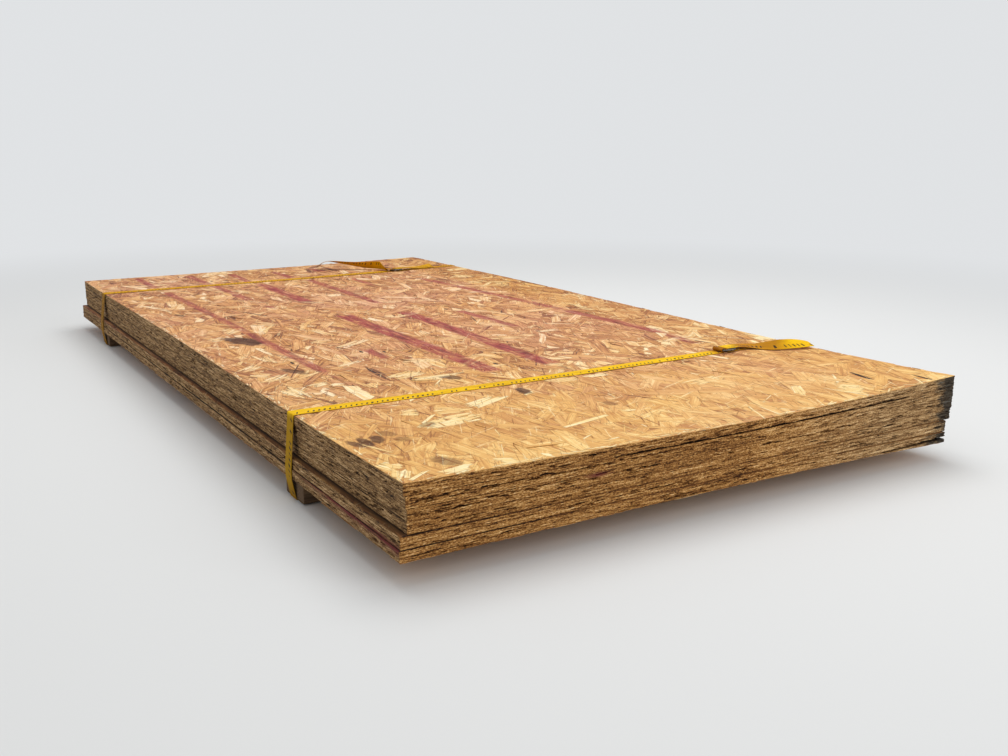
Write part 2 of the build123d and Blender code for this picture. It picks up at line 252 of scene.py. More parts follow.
class Nodes:
    """Nodes of one material or world, each joined to what feeds it as it is made."""

    def __init__(self, owner):
        owner.use_nodes = True
        self.tree = owner.node_tree

    def join(self, socket, value):
        if isinstance(value, bpy.types.NodeSocket):
            self.tree.links.new(value, socket)
        else:
            socket.default_value = value

    def add(self, kind, inputs, output=0, **settings):
        """A new node with its settings and inputs. Gives the output asked for."""
        node = self.tree.nodes.new("ShaderNode" + kind)
        for name, value in settings.items():
            setattr(node, name, value)
        for key, value in inputs.items():
            self.join(node.inputs[key], value)
        return node.outputs[output]

    def attributes(self, *names):
        return [self.add("Attribute", {}, "Fac", attribute_name=name) for name in names]

    def grain(self):
        """Metres along and across the strands, the sawn edge or the webbing."""
        return self.add("UVMap", {}, uv_map="grain")

    def place(self):
        return self.add("TexCoord", {}, "Object")

    def parts(self, vector):
        return tuple(self.add("SeparateXYZ", {0: vector}).node.outputs)

    def length(self, vector):
        return self.add("VectorMath", {0: vector}, "Value", operation="LENGTH")

    def seen_from(self, vector, place, turn, scale):
        """The vector seen from a place, turned about Z and divided by a scale."""
        inputs = {"Vector": vector, "Location": place, "Rotation": (0.0, 0.0, math.radians(turn)), "Scale": scale}
        return self.add("Mapping", inputs, vector_type="TEXTURE")

    def math(self, operation, *values, clamp=False):
        return self.add("Math", dict(enumerate(values)), operation=operation, use_clamp=clamp)

    def total(self, first, second, clamp=False):
        return self.math("ADD", first, second, clamp=clamp)

    def less(self, first, second, clamp=False):
        """first minus second"""
        return self.math("SUBTRACT", first, second, clamp=clamp)

    def product(self, first, second, clamp=False):
        return self.math("MULTIPLY", first, second, clamp=clamp)

    def line(self, value, gain, offset, clamp=False):
        """value times gain plus offset"""
        return self.math("MULTIPLY_ADD", value, gain, offset, clamp=clamp)

    def highest(self, values):
        result = values[0]
        for value in values[1:]:
            result = self.math("MAXIMUM", result, value)
        return result

    def rise(self, value, low, high):
        """0 below low and 1 above high, or the other way round, with a smooth step between."""
        inputs = {"Value": value, "From Min": low, "From Max": high}
        return self.add("MapRange", inputs, interpolation_type="SMOOTHSTEP")

    def noise(self, vector, scale, detail, roughness, distortion=0.0):
        """Noise of 0 to 1. A scale of three numbers stretches it along the axes."""
        if isinstance(scale, tuple):
            vector, scale = self.add("Mapping", {"Vector": vector, "Scale": scale}), 1.0
        names = ("Vector", "Scale", "Detail", "Roughness", "Distortion")
        return self.add("TexNoise", dict(zip(names, (vector, scale, detail, roughness, distortion))), "Fac")

    def ramp(self, value, *stops):
        """Colours along a value, where each stop is a place and an sRGB colour."""
        colour = self.add("ValToRGB", {"Fac": value}, "Color")
        elements = colour.node.color_ramp.elements
        while len(elements) < len(stops):
            elements.new(0.5)
        for element, (place, *parts) in zip(elements, stops):
            element.position = place
            element.color = (*srgb(*parts), 1.0)
        return colour

    def mix(self, share, first, second, blend="MIX"):
        """A share of the second colour in the first. Each is a socket or a linear colour."""
        pair = [c if isinstance(c, bpy.types.NodeSocket) else (*c, 1.0) for c in (first, second)]
        inputs = {0: share, 6: pair[0], 7: pair[1]}
        return self.add("Mix", inputs, 2, data_type="RGBA", blend_type=blend, clamp_factor=True)

    def tint(self, share, colour, tint):
        return self.mix(share, colour, tint, "MULTIPLY")

    def rays(self, *kinds):
        """1 for the kinds of ray named and 0 for all others."""
        return self.highest([self.add("LightPath", {}, f"Is {kind} Ray") for kind in kinds])

    def surface(self, colour, rough, specular, relief=None):
        """Sets up the material's shader. relief is a height, its distance in metres and its strength."""
        inputs = self.tree.nodes["Principled BSDF"].inputs
        self.join(inputs["Base Color"], colour)
        self.join(inputs["Roughness"], rough)
        inputs["Specular IOR Level"].default_value = specular
        if relief:
            self.join(inputs["Normal"], self.add("Bump", dict(zip(("Height", "Distance", "Strength"), relief))))
        return inputs


def stripe_mask(nodes, x, y, ragged, stripe):
    """How much paint one straight stripe holds, with ragged sides and soft ends."""
    x0, y0, x1, y1, width = (value * MM for value in stripe[:5])
    slope = (x1 - x0) / (y1 - y0)
    away = nodes.math("ABSOLUTE", nodes.less(x, nodes.line(y, slope, x0 - slope * y0)))
    side = nodes.rise(nodes.line(ragged, width * 0.5, away), width * 0.86, width * 0.6)
    ends = nodes.math("ABSOLUTE", nodes.less(y, (y0 + y1) / 2))
    half = abs(y1 - y0) / 2
    return nodes.product(nodes.product(side, nodes.rise(ends, half + 0.004, half - 0.03)), stripe[5])


def strand_material(settings):
    """Face of the board: flat softwood strands with grain, paint stripes rubbed in places, weather stains and
    painted shade.
    """
    material = bpy.data.materials.new("strand_face")
    nodes = Nodes(material)
    place, grain = nodes.place(), nodes.grain()
    x, y, _ = nodes.parts(place)
    tone, warmth, inset, hidden = nodes.attributes("tone", "warmth", "inset", "hidden")

    fibre = nodes.noise(grain, (11.0, 300.0, 1.0), 4.0, 0.62, 0.5)
    band = nodes.noise(grain, (6.0, 95.0, 1.0), 2.0, 0.5, 0.8)
    cloud = nodes.noise(place, 9.0, 4.0, 0.6, 0.6)
    calm = nodes.line(nodes.rise(y, -0.95, -0.72), 0.4, 0.6)
    shade = nodes.line(nodes.line(fibre, 1.15, nodes.line(band, 0.75, -0.95)), calm, tone)
    shade = nodes.total(shade, nodes.line(cloud, 0.36, -0.18))
    golden = nodes.ramp(
        shade, (0.0, 40, 24, 18), (0.1, 90, 58, 40), (0.24, 148, 96, 52), (0.44, 204, 146, 80),
        (0.62, 232, 182, 106), (0.8, 248, 216, 146), (1.0, 255, 240, 190),
    )
    rosy = nodes.ramp(
        shade, (0.0, 40, 24, 20), (0.1, 88, 56, 48), (0.24, 144, 90, 66), (0.44, 196, 138, 96),
        (0.62, 220, 166, 118), (0.8, 240, 202, 154), (1.0, 252, 232, 192),
    )
    # Rosier and duller towards the far end, but fresher along the right edge
    far, fresh = nodes.rise(y, -1.15, -0.1), nodes.rise(x, 0.43, 0.48)
    pink = nodes.total(nodes.product(warmth, 0.5), nodes.product(far, 0.3))
    pink = nodes.total(pink, nodes.line(nodes.noise(place, 2.6, 4.0, 0.55), 1.6, -0.85), clamp=True)
    weathered = nodes.product(far, nodes.line(fresh, -0.6, 1.0))
    colour = nodes.mix(pink, golden, rosy)
    colour = nodes.tint(1.0, colour, nodes.mix(weathered, (1.0, 0.98, 0.985), (0.92, 0.83, 0.88)))
    colour = nodes.tint(nodes.product(far, fresh), colour, (0.87, 0.8, 0.67))

    # Thin dark and pale splinters lying across the strands
    splinters = []
    for turn, wide, long in SPLINTERS:
        line = nodes.seen_from(place, (0.13 * turn, 0.0, 0.0), turn, (wide, long, 1.0))
        splinters.append(nodes.noise(line, 1.0, 2.0, 0.5, 0.6))
    dark = nodes.rise(nodes.highest(splinters[:3]), 0.64, 0.7)
    pale = nodes.rise(nodes.highest([splinters[3], nodes.less(1.0, splinters[0])]), 0.65, 0.72)
    colour = nodes.tint(nodes.product(dark, 0.7), colour, (0.46, 0.33, 0.29))
    colour = nodes.mix(nodes.product(pale, 0.6), colour, srgb(250, 226, 172))

    # Painted shadow: a thin dark line round each strand, broken here and there, where its edge would cast shade
    broken = nodes.noise(place, 60.0, 4.0, 0.6)
    reach = nodes.highest([nodes.line(broken, 4.4, -1.1), 0.05])
    rim = nodes.less(1.0, nodes.math("DIVIDE", inset, reach), clamp=True)
    colour = nodes.mix(nodes.product(rim, nodes.product(calm, 0.6)), colour, settings.rim_shadow_colour)

    # Grey water marks and stains, and nail holes painted near black as painted shade
    marks = nodes.rise(nodes.noise(place, 5.0, 5.0, 0.62, 0.8), 0.58, 0.78)
    colour = nodes.tint(nodes.product(marks, 0.35), colour, (0.6, 0.56, 0.56))
    blots = []
    for mark_x, mark_y, half_long, half_wide, turn, strength in STAINS:
        spot = (mark_x * MM, mark_y * MM, TOP_HEIGHT)
        away = nodes.length(nodes.seen_from(place, spot, turn, (half_wide * MM, half_long * MM, 1.0)))
        blots.append(nodes.product(nodes.rise(nodes.line(broken, 1.3, away), 1.95, 1.45), strength))
    colour = nodes.tint(nodes.highest(blots), colour, (0.2, 0.16, 0.19))
    holes = []
    for hole_x, hole_y in NAIL_HOLES:
        spot = (hole_x * MM, hole_y * MM, TOP_HEIGHT)
        holes.append(nodes.rise(nodes.length(nodes.seen_from(place, spot, 0.0, (*HOLE_SIZE, 1.0))), 1.1, 0.8))
    colour = nodes.mix(nodes.highest(holes), colour, (0.01, 0.008, 0.008))

    # Paint stripes, worn off where the wood is rough
    worn = nodes.noise(place, (90.0, 12.0, 1.0), 5.0, 0.72)
    masks = [stripe_mask(nodes, x, y, worn, stripe) for stripe in PAINT_STRIPES]
    hold = nodes.product(nodes.line(worn, 4.6, -1.28, clamp=True), nodes.line(warmth, 0.35, 0.75, clamp=True))
    paint = nodes.product(nodes.highest(masks), hold, clamp=True)
    thick = [part * 0.4 for part in settings.paint_colour]
    coat = nodes.mix(nodes.rise(worn, 0.42, 0.66), settings.paint_colour, thick)
    colour = nodes.mix(nodes.product(paint, 0.92), colour, coat)

    # Painted shade where a panel is covered by its neighbour, and on the bare ledge beside it
    colour = nodes.mix(hidden, colour, srgb(50, 34, 22))
    nodes.surface(colour, nodes.line(fibre, 0.3, 0.58), 0.2, (fibre, 0.0007, 0.8))
    return material


def edge_material(settings):
    """Sawn edge of the board: strand ends in layers, grit, red stain, soot and painted shade in gaps, seams and by
    side.
    """
    material = bpy.data.materials.new("strand_edge")
    nodes = Nodes(material)
    grain = nodes.grain()
    tone, grey, red, soot = nodes.attributes("tone", "grey", "red", "soot")
    fine = nodes.noise(grain, (190.0, 580.0, 1.0), 4.0, 0.7, 0.3)
    layer = nodes.noise(grain, (24.0, 400.0, 1.0), 3.0, 0.6, 0.6)
    grit = nodes.noise(grain, (260.0, 480.0, 1.0), 3.0, 0.75)
    bands = nodes.noise(grain, (2.5, 125.0, 1.0), 2.0, 0.5, 0.4)
    shade = nodes.total(tone, nodes.line(fine, 1.1, -0.55))
    shade = nodes.line(nodes.less(layer, 0.5), nodes.line(grey, 0.9, 0.7), shade)
    shade = nodes.total(shade, nodes.line(bands, 0.5, -0.25))
    shade = nodes.line(nodes.less(grit, 0.5), nodes.line(grey, -0.45, 1.45), shade)
    brown = nodes.ramp(
        shade, (0.0, 30, 16, 8), (0.22, 92, 56, 24), (0.42, 150, 104, 50), (0.62, 190, 144, 80),
        (0.8, 226, 186, 124), (1.0, 246, 216, 160),
    )
    dull = nodes.ramp(
        shade, (0.0, 30, 20, 12), (0.22, 84, 64, 40), (0.42, 134, 108, 72), (0.62, 168, 140, 98),
        (0.8, 198, 172, 128), (1.0, 228, 206, 162),
    )
    colour = nodes.tint(1.0, nodes.mix(grey, brown, dull), (1.04, 0.97, 0.96))
    stain = nodes.product(red, nodes.line(grit, 0.9, 0.45), clamp=True)
    colour = nodes.mix(stain, colour, settings.edge_stain_colour)
    cloud = nodes.noise(grain, (34.0, 90.0, 1.0), 5.0, 0.7)
    burnt = nodes.rise(nodes.total(soot, nodes.line(cloud, 1.7, -0.85)), 0.25, 0.85)
    burnt = nodes.product(burnt, nodes.math("GREATER_THAN", soot, 0.01))
    colour = nodes.mix(burnt, colour, nodes.tint(1.0, colour, (0.14, 0.18, 0.28)))
    bumps = nodes.total(fine, nodes.product(layer, 1.5))
    nodes.surface(colour, nodes.line(layer, 0.2, 0.72), 0.18, (bumps, 0.0009, 0.8))
    return material


def webbing_material(settings):
    """Woven polyester webbing with a row of dark printed dashes, dirt, frayed edges, painted sheen and painted
    shade.
    """
    material = bpy.data.materials.new("yellow_webbing")
    nodes = Nodes(material)
    grain = nodes.grain()
    along, across, _ = nodes.parts(grain)
    worn, = nodes.attributes("worn")

    # Warp threads run along the webbing and each weft row lifts every other one
    warp = nodes.math("SINE", nodes.product(across, 2 * math.pi / 0.0013))
    weft = nodes.math("SINE", nodes.product(along, 2 * math.pi / 0.0016))
    weave = nodes.product(warp, weft)
    relief = nodes.line(weave, 0.5, nodes.product(warp, 0.35))
    dirt = nodes.noise(grain, (16.0, 60.0, 1.0), 5.0, 0.65, 0.5)
    base = nodes.ramp(
        nodes.line(dirt, 0.9, nodes.line(weave, 0.06, 0.04)),
        (0.0, 150, 104, 2), (0.3, 220, 166, 0), (0.52, 248, 198, 0), (0.75, 255, 214, 0), (1.0, 255, 228, 20),
    )
    amber = nodes.ramp(dirt, (0.0, 96, 56, 6), (0.45, 176, 110, 10), (1.0, 220, 150, 24))
    # Painted sheen and shade: yellow where the webbing would show the bright sky, amber without it and in shade,
    # brown in deep shade
    colour = nodes.mix(nodes.rise(worn, 1.05, 1.5), nodes.mix(worn, base, amber), srgb(74, 48, 24))

    # One row of plain slanted dashes near one edge, a few of them missing
    row = nodes.total(across, 0.0066)
    slanted = nodes.line(row, 42.0, nodes.math("DIVIDE", along, settings.dash_pitch))
    chance = nodes.add("TexWhiteNoise", {"W": nodes.math("FLOOR", slanted)}, "Value", noise_dimensions="1D")
    away = nodes.math("ABSOLUTE", nodes.less(nodes.math("FRACT", slanted), 0.5))
    dash = nodes.math("LESS_THAN", away, nodes.line(chance, 0.14, 0.09))
    dash = nodes.product(dash, nodes.math("GREATER_THAN", chance, 0.15))
    dash = nodes.product(dash, nodes.math("LESS_THAN", nodes.math("ABSOLUTE", row), 0.0048))
    dash = nodes.product(dash, nodes.rise(nodes.noise(grain, 40.0, 2.0, 0.5), 0.26, 0.38))
    colour = nodes.mix(nodes.product(dash, 0.93), colour, settings.dash_colour)
    frayed = nodes.rise(nodes.math("ABSOLUTE", across), 0.0138, 0.016)
    colour = nodes.mix(nodes.product(frayed, 0.35), colour, srgb(150, 104, 20))

    # Darker where it runs down the sides of the stack and under it: painted shade, mottled by the dirt noise
    low = nodes.rise(nodes.parts(nodes.place())[2], 0.162, 0.15)
    low = nodes.product(low, nodes.line(dirt, 0.6, 0.6), clamp=True)
    colour = nodes.tint(low, colour, (0.45, 0.4, 0.38))
    nodes.surface(colour, 0.7, 0.12, (relief, 0.0002, 0.8))
    return material


def buckle_material():
    """Dark phosphated wire, rubbed bright in places and rusty in others."""
    material = bpy.data.materials.new("buckle_wire")
    nodes = Nodes(material)
    place = nodes.place()
    rub = nodes.noise(place, 160.0, 4.0, 0.6)
    colour = nodes.ramp(
        rub, (0.0, 30, 27, 25), (0.42, 66, 61, 56), (0.58, 118, 111, 100), (0.75, 184, 178, 164),
        (1.0, 204, 198, 188),
    )
    rust = nodes.rise(nodes.noise(place, 90.0, 5.0, 0.7), 0.6, 0.72)
    colour = nodes.mix(nodes.product(rust, 0.6), colour, srgb(104, 62, 36))
    nodes.surface(colour, nodes.line(rub, 0.4, 0.26), 0.5, (rub, 0.0003, 0.4))["Metallic"].default_value = 0.85
    return material


def dunnage_material():
    """Weathered softwood board: long grain on the sides and rings on the ends."""
    material = bpy.data.materials.new("dunnage_wood")
    nodes = Nodes(material)
    place = nodes.place()
    ends, = nodes.attributes("end_grain")
    long_grain = nodes.noise(place, (3.0, 120.0, 120.0), 5.0, 0.6, 0.8)
    heart = nodes.add("Mapping", {"Vector": place, "Location": (0.0, 0.79, 0.03)})
    inputs = {"Vector": heart, "Scale": 120.0, "Distortion": 1.6, "Detail": 2.0}
    wave = nodes.add("TexWave", inputs, "Fac", wave_type="RINGS", rings_direction="X")
    sides = nodes.ramp(long_grain, (0.0, 40, 30, 22), (0.4, 84, 66, 48), (0.62, 118, 96, 72), (1.0, 160, 138, 108))
    rings = nodes.ramp(wave, (0.0, 70, 52, 38), (0.5, 104, 82, 62), (1.0, 136, 112, 88))
    stain = nodes.rise(nodes.noise(place, 14.0, 4.0, 0.6), 0.45, 0.75)
    colour = nodes.mix(nodes.product(stain, 0.5), nodes.mix(ends, sides, rings), srgb(58, 46, 36))
    nodes.surface(colour, 0.86, 0.15, (long_grain, 0.001, 0.6))
    return material


def floor_material(colour, backdrop):
    """Pale floor that keeps the object's shadow, and far off runs into the plain background."""
    material = bpy.data.materials.new("plain_floor")
    nodes = Nodes(material)
    nodes.surface((*colour, 1.0), 0.9, 0.1)
    far = nodes.rise(nodes.length(nodes.place()), 1.4, 3.9)
    glow = nodes.add("Emission", {"Color": BACKDROP_COLOUR, "Strength": backdrop})
    floor = nodes.tree.nodes["Principled BSDF"].outputs[0]
    mixed = nodes.add("MixShader", {0: nodes.product(far, nodes.rays("Camera", "Glossy")), 1: floor, 2: glow})
    nodes.join(nodes.tree.nodes["Material Output"].inputs["Surface"], mixed)
    return material


class Mesh:
    """Collects parts of one mesh: points, faces, grain coordinates, named values and material numbers."""

    def __init__(self, *values):
        self.points, self.loops, self.sizes, self.uvs, self.slots = [], [], [], [], []
        self.values = {name: [] for name in values}
        self.count = 0

    def add_points(self, points, **values):
        """New points in metres. Each value is one for all or one for each. Gives the first point's number."""
        points = np.reshape(points, (-1, 3))
        self.points.append(points)
        for name, found in self.values.items():
            found.append(np.broadcast_to(np.ravel(values.get(name, 0.0)), len(points)))
        self.count += len(points)
        return self.count - len(points)

    def add_faces(self, faces, corner_uvs, slot=0):
        """A row of point numbers for each face, and grain coordinates for each corner."""
        self.loops.append(faces.ravel())
        self.sizes.append(np.full(len(faces), faces.shape[1]))
        self.uvs.append(corner_uvs)
        self.slots.append(np.full(len(faces), slot))

    def add(self, points, blocks, uvs=None, slot=0, **values):
        """New points and blocks of faces between them, with grain coordinates that go by point."""
        first = self.add_points(points, **values)
        uvs = np.zeros((self.count - first, 2)) if uvs is None else np.reshape(uvs, (-1, 2))
        for faces in blocks:
            self.add_faces(faces + first, uvs[faces.ravel()], slot)

    def build(self, name, materials, smooth=False):
        points, loops, sizes = (np.concatenate(part) for part in (self.points, self.loops, self.sizes))
        mesh = bpy.data.meshes.new(name)
        mesh.vertices.add(len(points))
        mesh.vertices.foreach_set("co", points.astype(np.float32).ravel())
        mesh.loops.add(len(loops))
        mesh.loops.foreach_set("vertex_index", loops.astype(np.int32))
        mesh.polygons.add(len(sizes))
        starts = np.concatenate([[0], np.cumsum(sizes)[:-1]])
        mesh.polygons.foreach_set("loop_start", starts.astype(np.int32))
        mesh.polygons.foreach_set("material_index", np.concatenate(self.slots).astype(np.int32))
        mesh.polygons.foreach_set("use_smooth", np.full(len(sizes), smooth))
        mesh.update(calc_edges=True)
        layer = mesh.uv_layers.new(name="grain")
        layer.data.foreach_set("uv", np.concatenate(self.uvs).astype(np.float32).ravel())
        for value_name, parts in self.values.items():
            attribute = mesh.attributes.new(value_name, "FLOAT", "POINT")
            attribute.data.foreach_set("value", np.concatenate(parts).astype(np.float32))
        mesh.validate()
        for material in materials:
            mesh.materials.append(material)
        return linked(name, mesh)


def linked(name, data):
    """A new object in the scene."""
    made = bpy.data.objects.new(name, data)
    bpy.context.scene.collection.objects.link(made)
    return made


def tube(rows, count, flip=False):
    """Blocks of faces between rings of points: the wall, the first end and the last end."""
    rings = np.arange(rows * count).reshape(rows, count)
    after = np.roll(rings, -1, axis=1)
    corners = [rings[:-1], after[:-1], after[1:], rings[1:]]
    ends = [rings[:1, ::-1], rings[-1:]]
    if flip:
        corners = corners[:1] + corners[:0:-1]
        ends = [end[:, ::-1] for end in ends]
    return [np.stack(corners, axis=-1).reshape(-1, 4), *ends]


def share(value):
    """The value kept between 0 and 1."""
    return np.clip(value, 0, 1)


def waver(rng, at, places, low, high):
    """Random values at evenly spaced places, given by their start, stop and step, read off in between."""
    places = np.arange(*places)
    return np.interp(at, places, rng.uniform(low, high, len(places)))


def runs(rng, count, lengths, low, high):
    """Values that stay level for stretches of uneven length, as strands lie end to end in a layer."""
    values = np.zeros(count)
    start = 0
    while start < count:
        stop = start + max(1, int(round(rng.uniform(*lengths))))
        values[start:stop] = rng.uniform(low, high)
        start = stop
    return values


class BoardShape:
    """Place and warp of one panel, read from the frame. Local u runs across it and v along it, in mm."""

    def __init__(self, number):
        self.number = number
        self.shift_x, self.shift_y, turn = PANEL_PLACES[number - 1]
        self.turn = math.radians(turn)
        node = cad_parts[f"panel_{number}"]
        tree = BVHTree.FromPolygons([v.co for v in node.data.vertices], [p.vertices for p in node.data.polygons])
        low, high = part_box(node.name)
        # Rays from below and above, kept just inside the panel's sides
        rays = ((BOTTOM, low.z - 0.01, Vector((0, 0, 1))), (TOP, high.z + 0.01, Vector((0, 0, -1))))
        self.heights = np.zeros((2, WARP_CELLS + 1, WARP_CELLS + 1))
        for i, u in enumerate(np.linspace(-HALF_WIDTH, HALF_WIDTH, WARP_CELLS + 1)):
            for j, v in enumerate(np.linspace(-HALF_LENGTH, HALF_LENGTH, WARP_CELLS + 1)):
                x, y = self.place(u * 0.9995, v * 0.9998)
                for face, start, way in rays:
                    hit = tree.ray_cast(Vector((x * MM, y * MM, start)), way)
                    self.heights[face, i, j] = hit[0].z / MM

    def place(self, u, v):
        x = self.shift_x + u * math.cos(self.turn) - v * math.sin(self.turn)
        y = self.shift_y + u * math.sin(self.turn) + v * math.cos(self.turn)
        return x, y

    def height(self, face, u, v):
        """Height of the underside or the top at u and v."""
        grid = self.heights[face]
        a = np.clip((u + HALF_WIDTH) / PANEL_WIDTH * WARP_CELLS, 0, WARP_CELLS - 0.0001)
        b = np.clip((v + HALF_LENGTH) / PANEL_LENGTH * WARP_CELLS, 0, WARP_CELLS - 0.0001)
        i, j = a.astype(int), b.astype(int)
        s, t = a - i, b - j
        near = grid[i, j] * (1 - s) + grid[i + 1, j] * s
        far = grid[i, j + 1] * (1 - s) + grid[i + 1, j + 1] * s
        return near * (1 - t) + far * t

    def is_outer(self, face):
        """Whether this is the underside or the top of the whole stack, which loose strands cover."""
        return self.number == (BOTTOM_PANEL, TOP_PANEL)[face]

    def slab_height(self, face, u, v):
        """Height of the slab, which is set back where loose strands cover it."""
        depth = COVER_DEPTH if self.is_outer(face) else 0.0
        return self.height(face, u, v) + (depth if face == BOTTOM else -depth)

    def points(self, u, v, z):
        """Points in metres from local u and v and height z."""
        x, y = self.place(u, v)
        return np.stack([x, y, np.broadcast_to(z, x.shape)], axis=-1) * MM


def perimeter():
    """Places round a panel, the way out at each and its side. A corner starts a side and faces both ways."""
    places, outward, side = [], [], []
    for number, way in enumerate(OUTWARD):
        start, stop = CORNERS[number], CORNERS[(number + 1) % 4]
        pieces = int(round(math.dist(start, stop) / EDGE_STEP))
        places.append(start + (stop - start) * (np.arange(pieces)[:, None] / pieces))
        ways = np.tile(way, (pieces, 1))
        ways[0] += OUTWARD[number - 1]
        outward.append(ways)
        side.append(np.full(pieces, number))
    return np.concatenate(places).T, np.concatenate(outward).T, np.concatenate(side)


class SawnEdge:
    """The sawn edges of one panel, as rows of points from its underside to its top.

    Each point is set back by some distance and has a tone and shares of grey, red stain, soot and painted shade.
    """

    def __init__(self, shape, rng):
        self.number, self.rng = shape.number, rng
        (self.u, self.v), (self.out_u, self.out_v), self.side = perimeter()
        self.count = len(self.side)
        self.front, self.left = self.side == FRONT, self.side == LEFT
        self.level = np.linspace(0.0, 1.0, EDGE_ROWS)[:, None]
        self.back, self.tone = np.zeros((2, EDGE_ROWS, self.count))
        self.lay_strands()
        self.open_voids()
        self.wear_arrises()
        if self.number == BOTTOM_PANEL:
            self.split_corner()
        low, high = (shape.slab_height(face, self.u, self.v) for face in (BOTTOM, TOP))
        self.z = low + (high - low) * self.level
        if self.number in (TOP_PANEL - 1, TOP_PANEL):
            self.open_top_gap()
        self.soot, self.grey = self.soot_and_grey()
        self.red = self.red_stain()
        self.hidden = np.zeros(self.z.shape)
        self.darken_seams()

    def lay_strands(self):
        """Strand ends in layers: long runs where they lie along the edge, short ones where they are cut."""
        across = (self.side == FRONT) | (self.side == BACK)
        for row in range(EDGE_ROWS):
            outer = not 0.24 <= row / (EDGE_ROWS - 1) <= 0.76
            for cut, where in ((outer, across), (not outer, ~across)):
                lengths = [length / EDGE_STEP for length in ((5, 20) if cut else (18, 70))]
                total = int(where.sum())
                self.back[row, where] = runs(self.rng, total, lengths, 0.0, 0.6 if outer else 1.0)
                self.tone[row, where] = runs(self.rng, total, lengths, 0.36, 0.66 if outer else 0.74)
        self.tone += self.rng.normal(0.0, 0.07, self.tone.shape)

    def open_void(self, row, where, deep, dark):
        """One gap between strands, one or two rows tall, by ranges of its depth and of its darkness, which is
        painted shade.
        """
        rows = slice(row, row + int(self.rng.integers(1, 3)))
        self.back[rows, where] += self.rng.uniform(*deep)
        self.tone[rows, where] -= self.rng.uniform(*dark)

    def open_voids(self):
        """Small gaps between the strands all round, and rows of larger ones along the front."""
        rng = self.rng
        for _ in range(settings_of().board.void_count):
            long = int(rng.triangular(4, 8, 26) / EDGE_STEP) + 1
            start = int(rng.integers(0, self.count))
            row = int(np.clip(rng.normal(0.5, 0.17), 0.1, 0.9) * (EDGE_ROWS - 1))
            self.open_void(row, np.arange(start, start + long) % self.count, (1.2, 3.6), (0.1, 0.34))
        for number, x_from, x_to, height, open_share in VOID_ROWS:
            if number != self.number:
                continue
            for x in np.arange(x_from, x_to, 9.0):
                if rng.random() > open_share:
                    continue
                long = rng.uniform(7, 24)
                row = int(np.clip((height + rng.normal(0, 0.05)) * (EDGE_ROWS - 1), 1, EDGE_ROWS - 3))
                where = self.front & (self.u > x) & (self.u < x + long)
                self.open_void(row, where, (2.0, 5.2), (0.25, 0.5))

    def wear_arrises(self):
        """Arrises a little rounder than the rest. The upright corners are set back least."""
        wear_and_shade = waver(self.rng, np.arange(self.count), (0, self.count + 12, 12), 0.2, 1.5)
        groove = np.where(self.front, 0.0, 0.7)
        self.back[0] = wear_and_shade * 0.8 + groove
        self.back[1] = np.maximum(self.back[1], wear_and_shade * 0.4)
        self.back[-1] = np.roll(wear_and_shade, 37) * 0.8 + groove
        self.back = np.clip(self.back, 0.0, 8.0)
        corners = np.abs(self.out_u) + np.abs(self.out_v) > 1.5
        self.back[:, corners] = np.minimum(self.back[:, corners], 1.2)

    def split_corner(self):
        """Split in the front right corner, from the underside up to the side, darkened inside as painted shade."""
        along = share((self.u - HALF_WIDTH + SPLIT_LENGTH) / SPLIT_LENGTH)
        middle = 2.5 + along * 7.0 + waver(self.rng, self.u, (-620, 640, 9.0), -0.5, 0.5)
        near = self.front | ((self.side == RIGHT) & (self.v < -HALF_LENGTH + 26.0))
        away = np.abs(self.level * 19.5 - middle)
        split = near & (along > 0.02) & (away < along * 1.2 + 0.95)
        self.back[split] = 17.0
        self.tone[split] = -0.2

    def open_top_gap(self):
        """The gap between the two top panels stands open along the front, darkened inside as painted shade."""
        here = self.front & (self.u > -230) & (self.u < 470)
        bite = np.where(here, waver(self.rng, self.u, (-620, 640, 14.0), 0.2, 1.0), 0.0)
        if self.number == TOP_PANEL:
            self.z[0] += bite * 2.0
            self.z[1] += bite * 1.1
            self.back[0] += bite * 5.0
            self.tone[0:2] -= bite * 0.7
        else:
            self.z[-1] -= bite * 1.4
            self.back[-1] += bite * 4.0
            self.tone[-1] -= bite * 0.6

    def soot_and_grey(self):
        """Soot round the front right corner, and grey that grows towards it along the front, over the painted
        shade grey of each side.
        """
        beyond = np.where(self.side == RIGHT, HALF_WIDTH + (self.v + HALF_LENGTH) * 0.55, -700.0)
        along = np.where(self.front, self.u, beyond)
        start = 517 + waver(self.rng, self.u, (-620, 640, 20.0), -25, 25)
        soot = share((along - start) / 90) * share((800 - along) / 160)
        return soot, SIDE_SHADE_GREY[self.side] + share((along - 120) / 300) * self.front * 0.7

    def red_stain(self):
        """Red stain at the left between the two lowest panels, and one spot on the front."""
        level, red = self.level, np.zeros(self.z.shape)
        patches = self.left * waver(self.rng, self.v, (-1240, 1300, 35.0), 0.25, 1.1)
        if self.number == 1:
            fade = share((-760 - self.v) / 300) * patches
            red += share((level - 0.3) * 1.6) * fade * 0.9 + share((level - 0.86) * 8) * fade * 1.2
        if self.number == 2:
            fade = share((-860 - self.v) / 300) * patches
            red += share(1.15 - level * 4) * fade * 1.3 + share(1 - level * 2.2) * fade * 0.4
            red += share((level - 0.75) * 4) * share((self.v - 500) / 200) * self.left * 0.8
        if self.number == 3:
            red += share(1 - level * 7) * self.left * 0.35
        if self.number == 4:
            spot = np.exp(-(((self.u + 268) / 20) ** 2)) * self.front
            red += share(1.1 - np.abs(level - 0.75) * 3) * spot * 1.1
        return red

    def darken_seams(self):
        """Painted shade, darker where one panel meets the next and along the left, where shade falls. Also darker
        along the left part of the front.
        """
        self.tone -= self.left * 0.075 + self.front * np.clip((100 - self.u) / 500, 0, 0.07)
        seam = waver(self.rng, np.arange(self.count), (0, self.count + 9, 9), 0.3, 0.85)
        seam *= np.where(self.front, 0.26, 1.0)
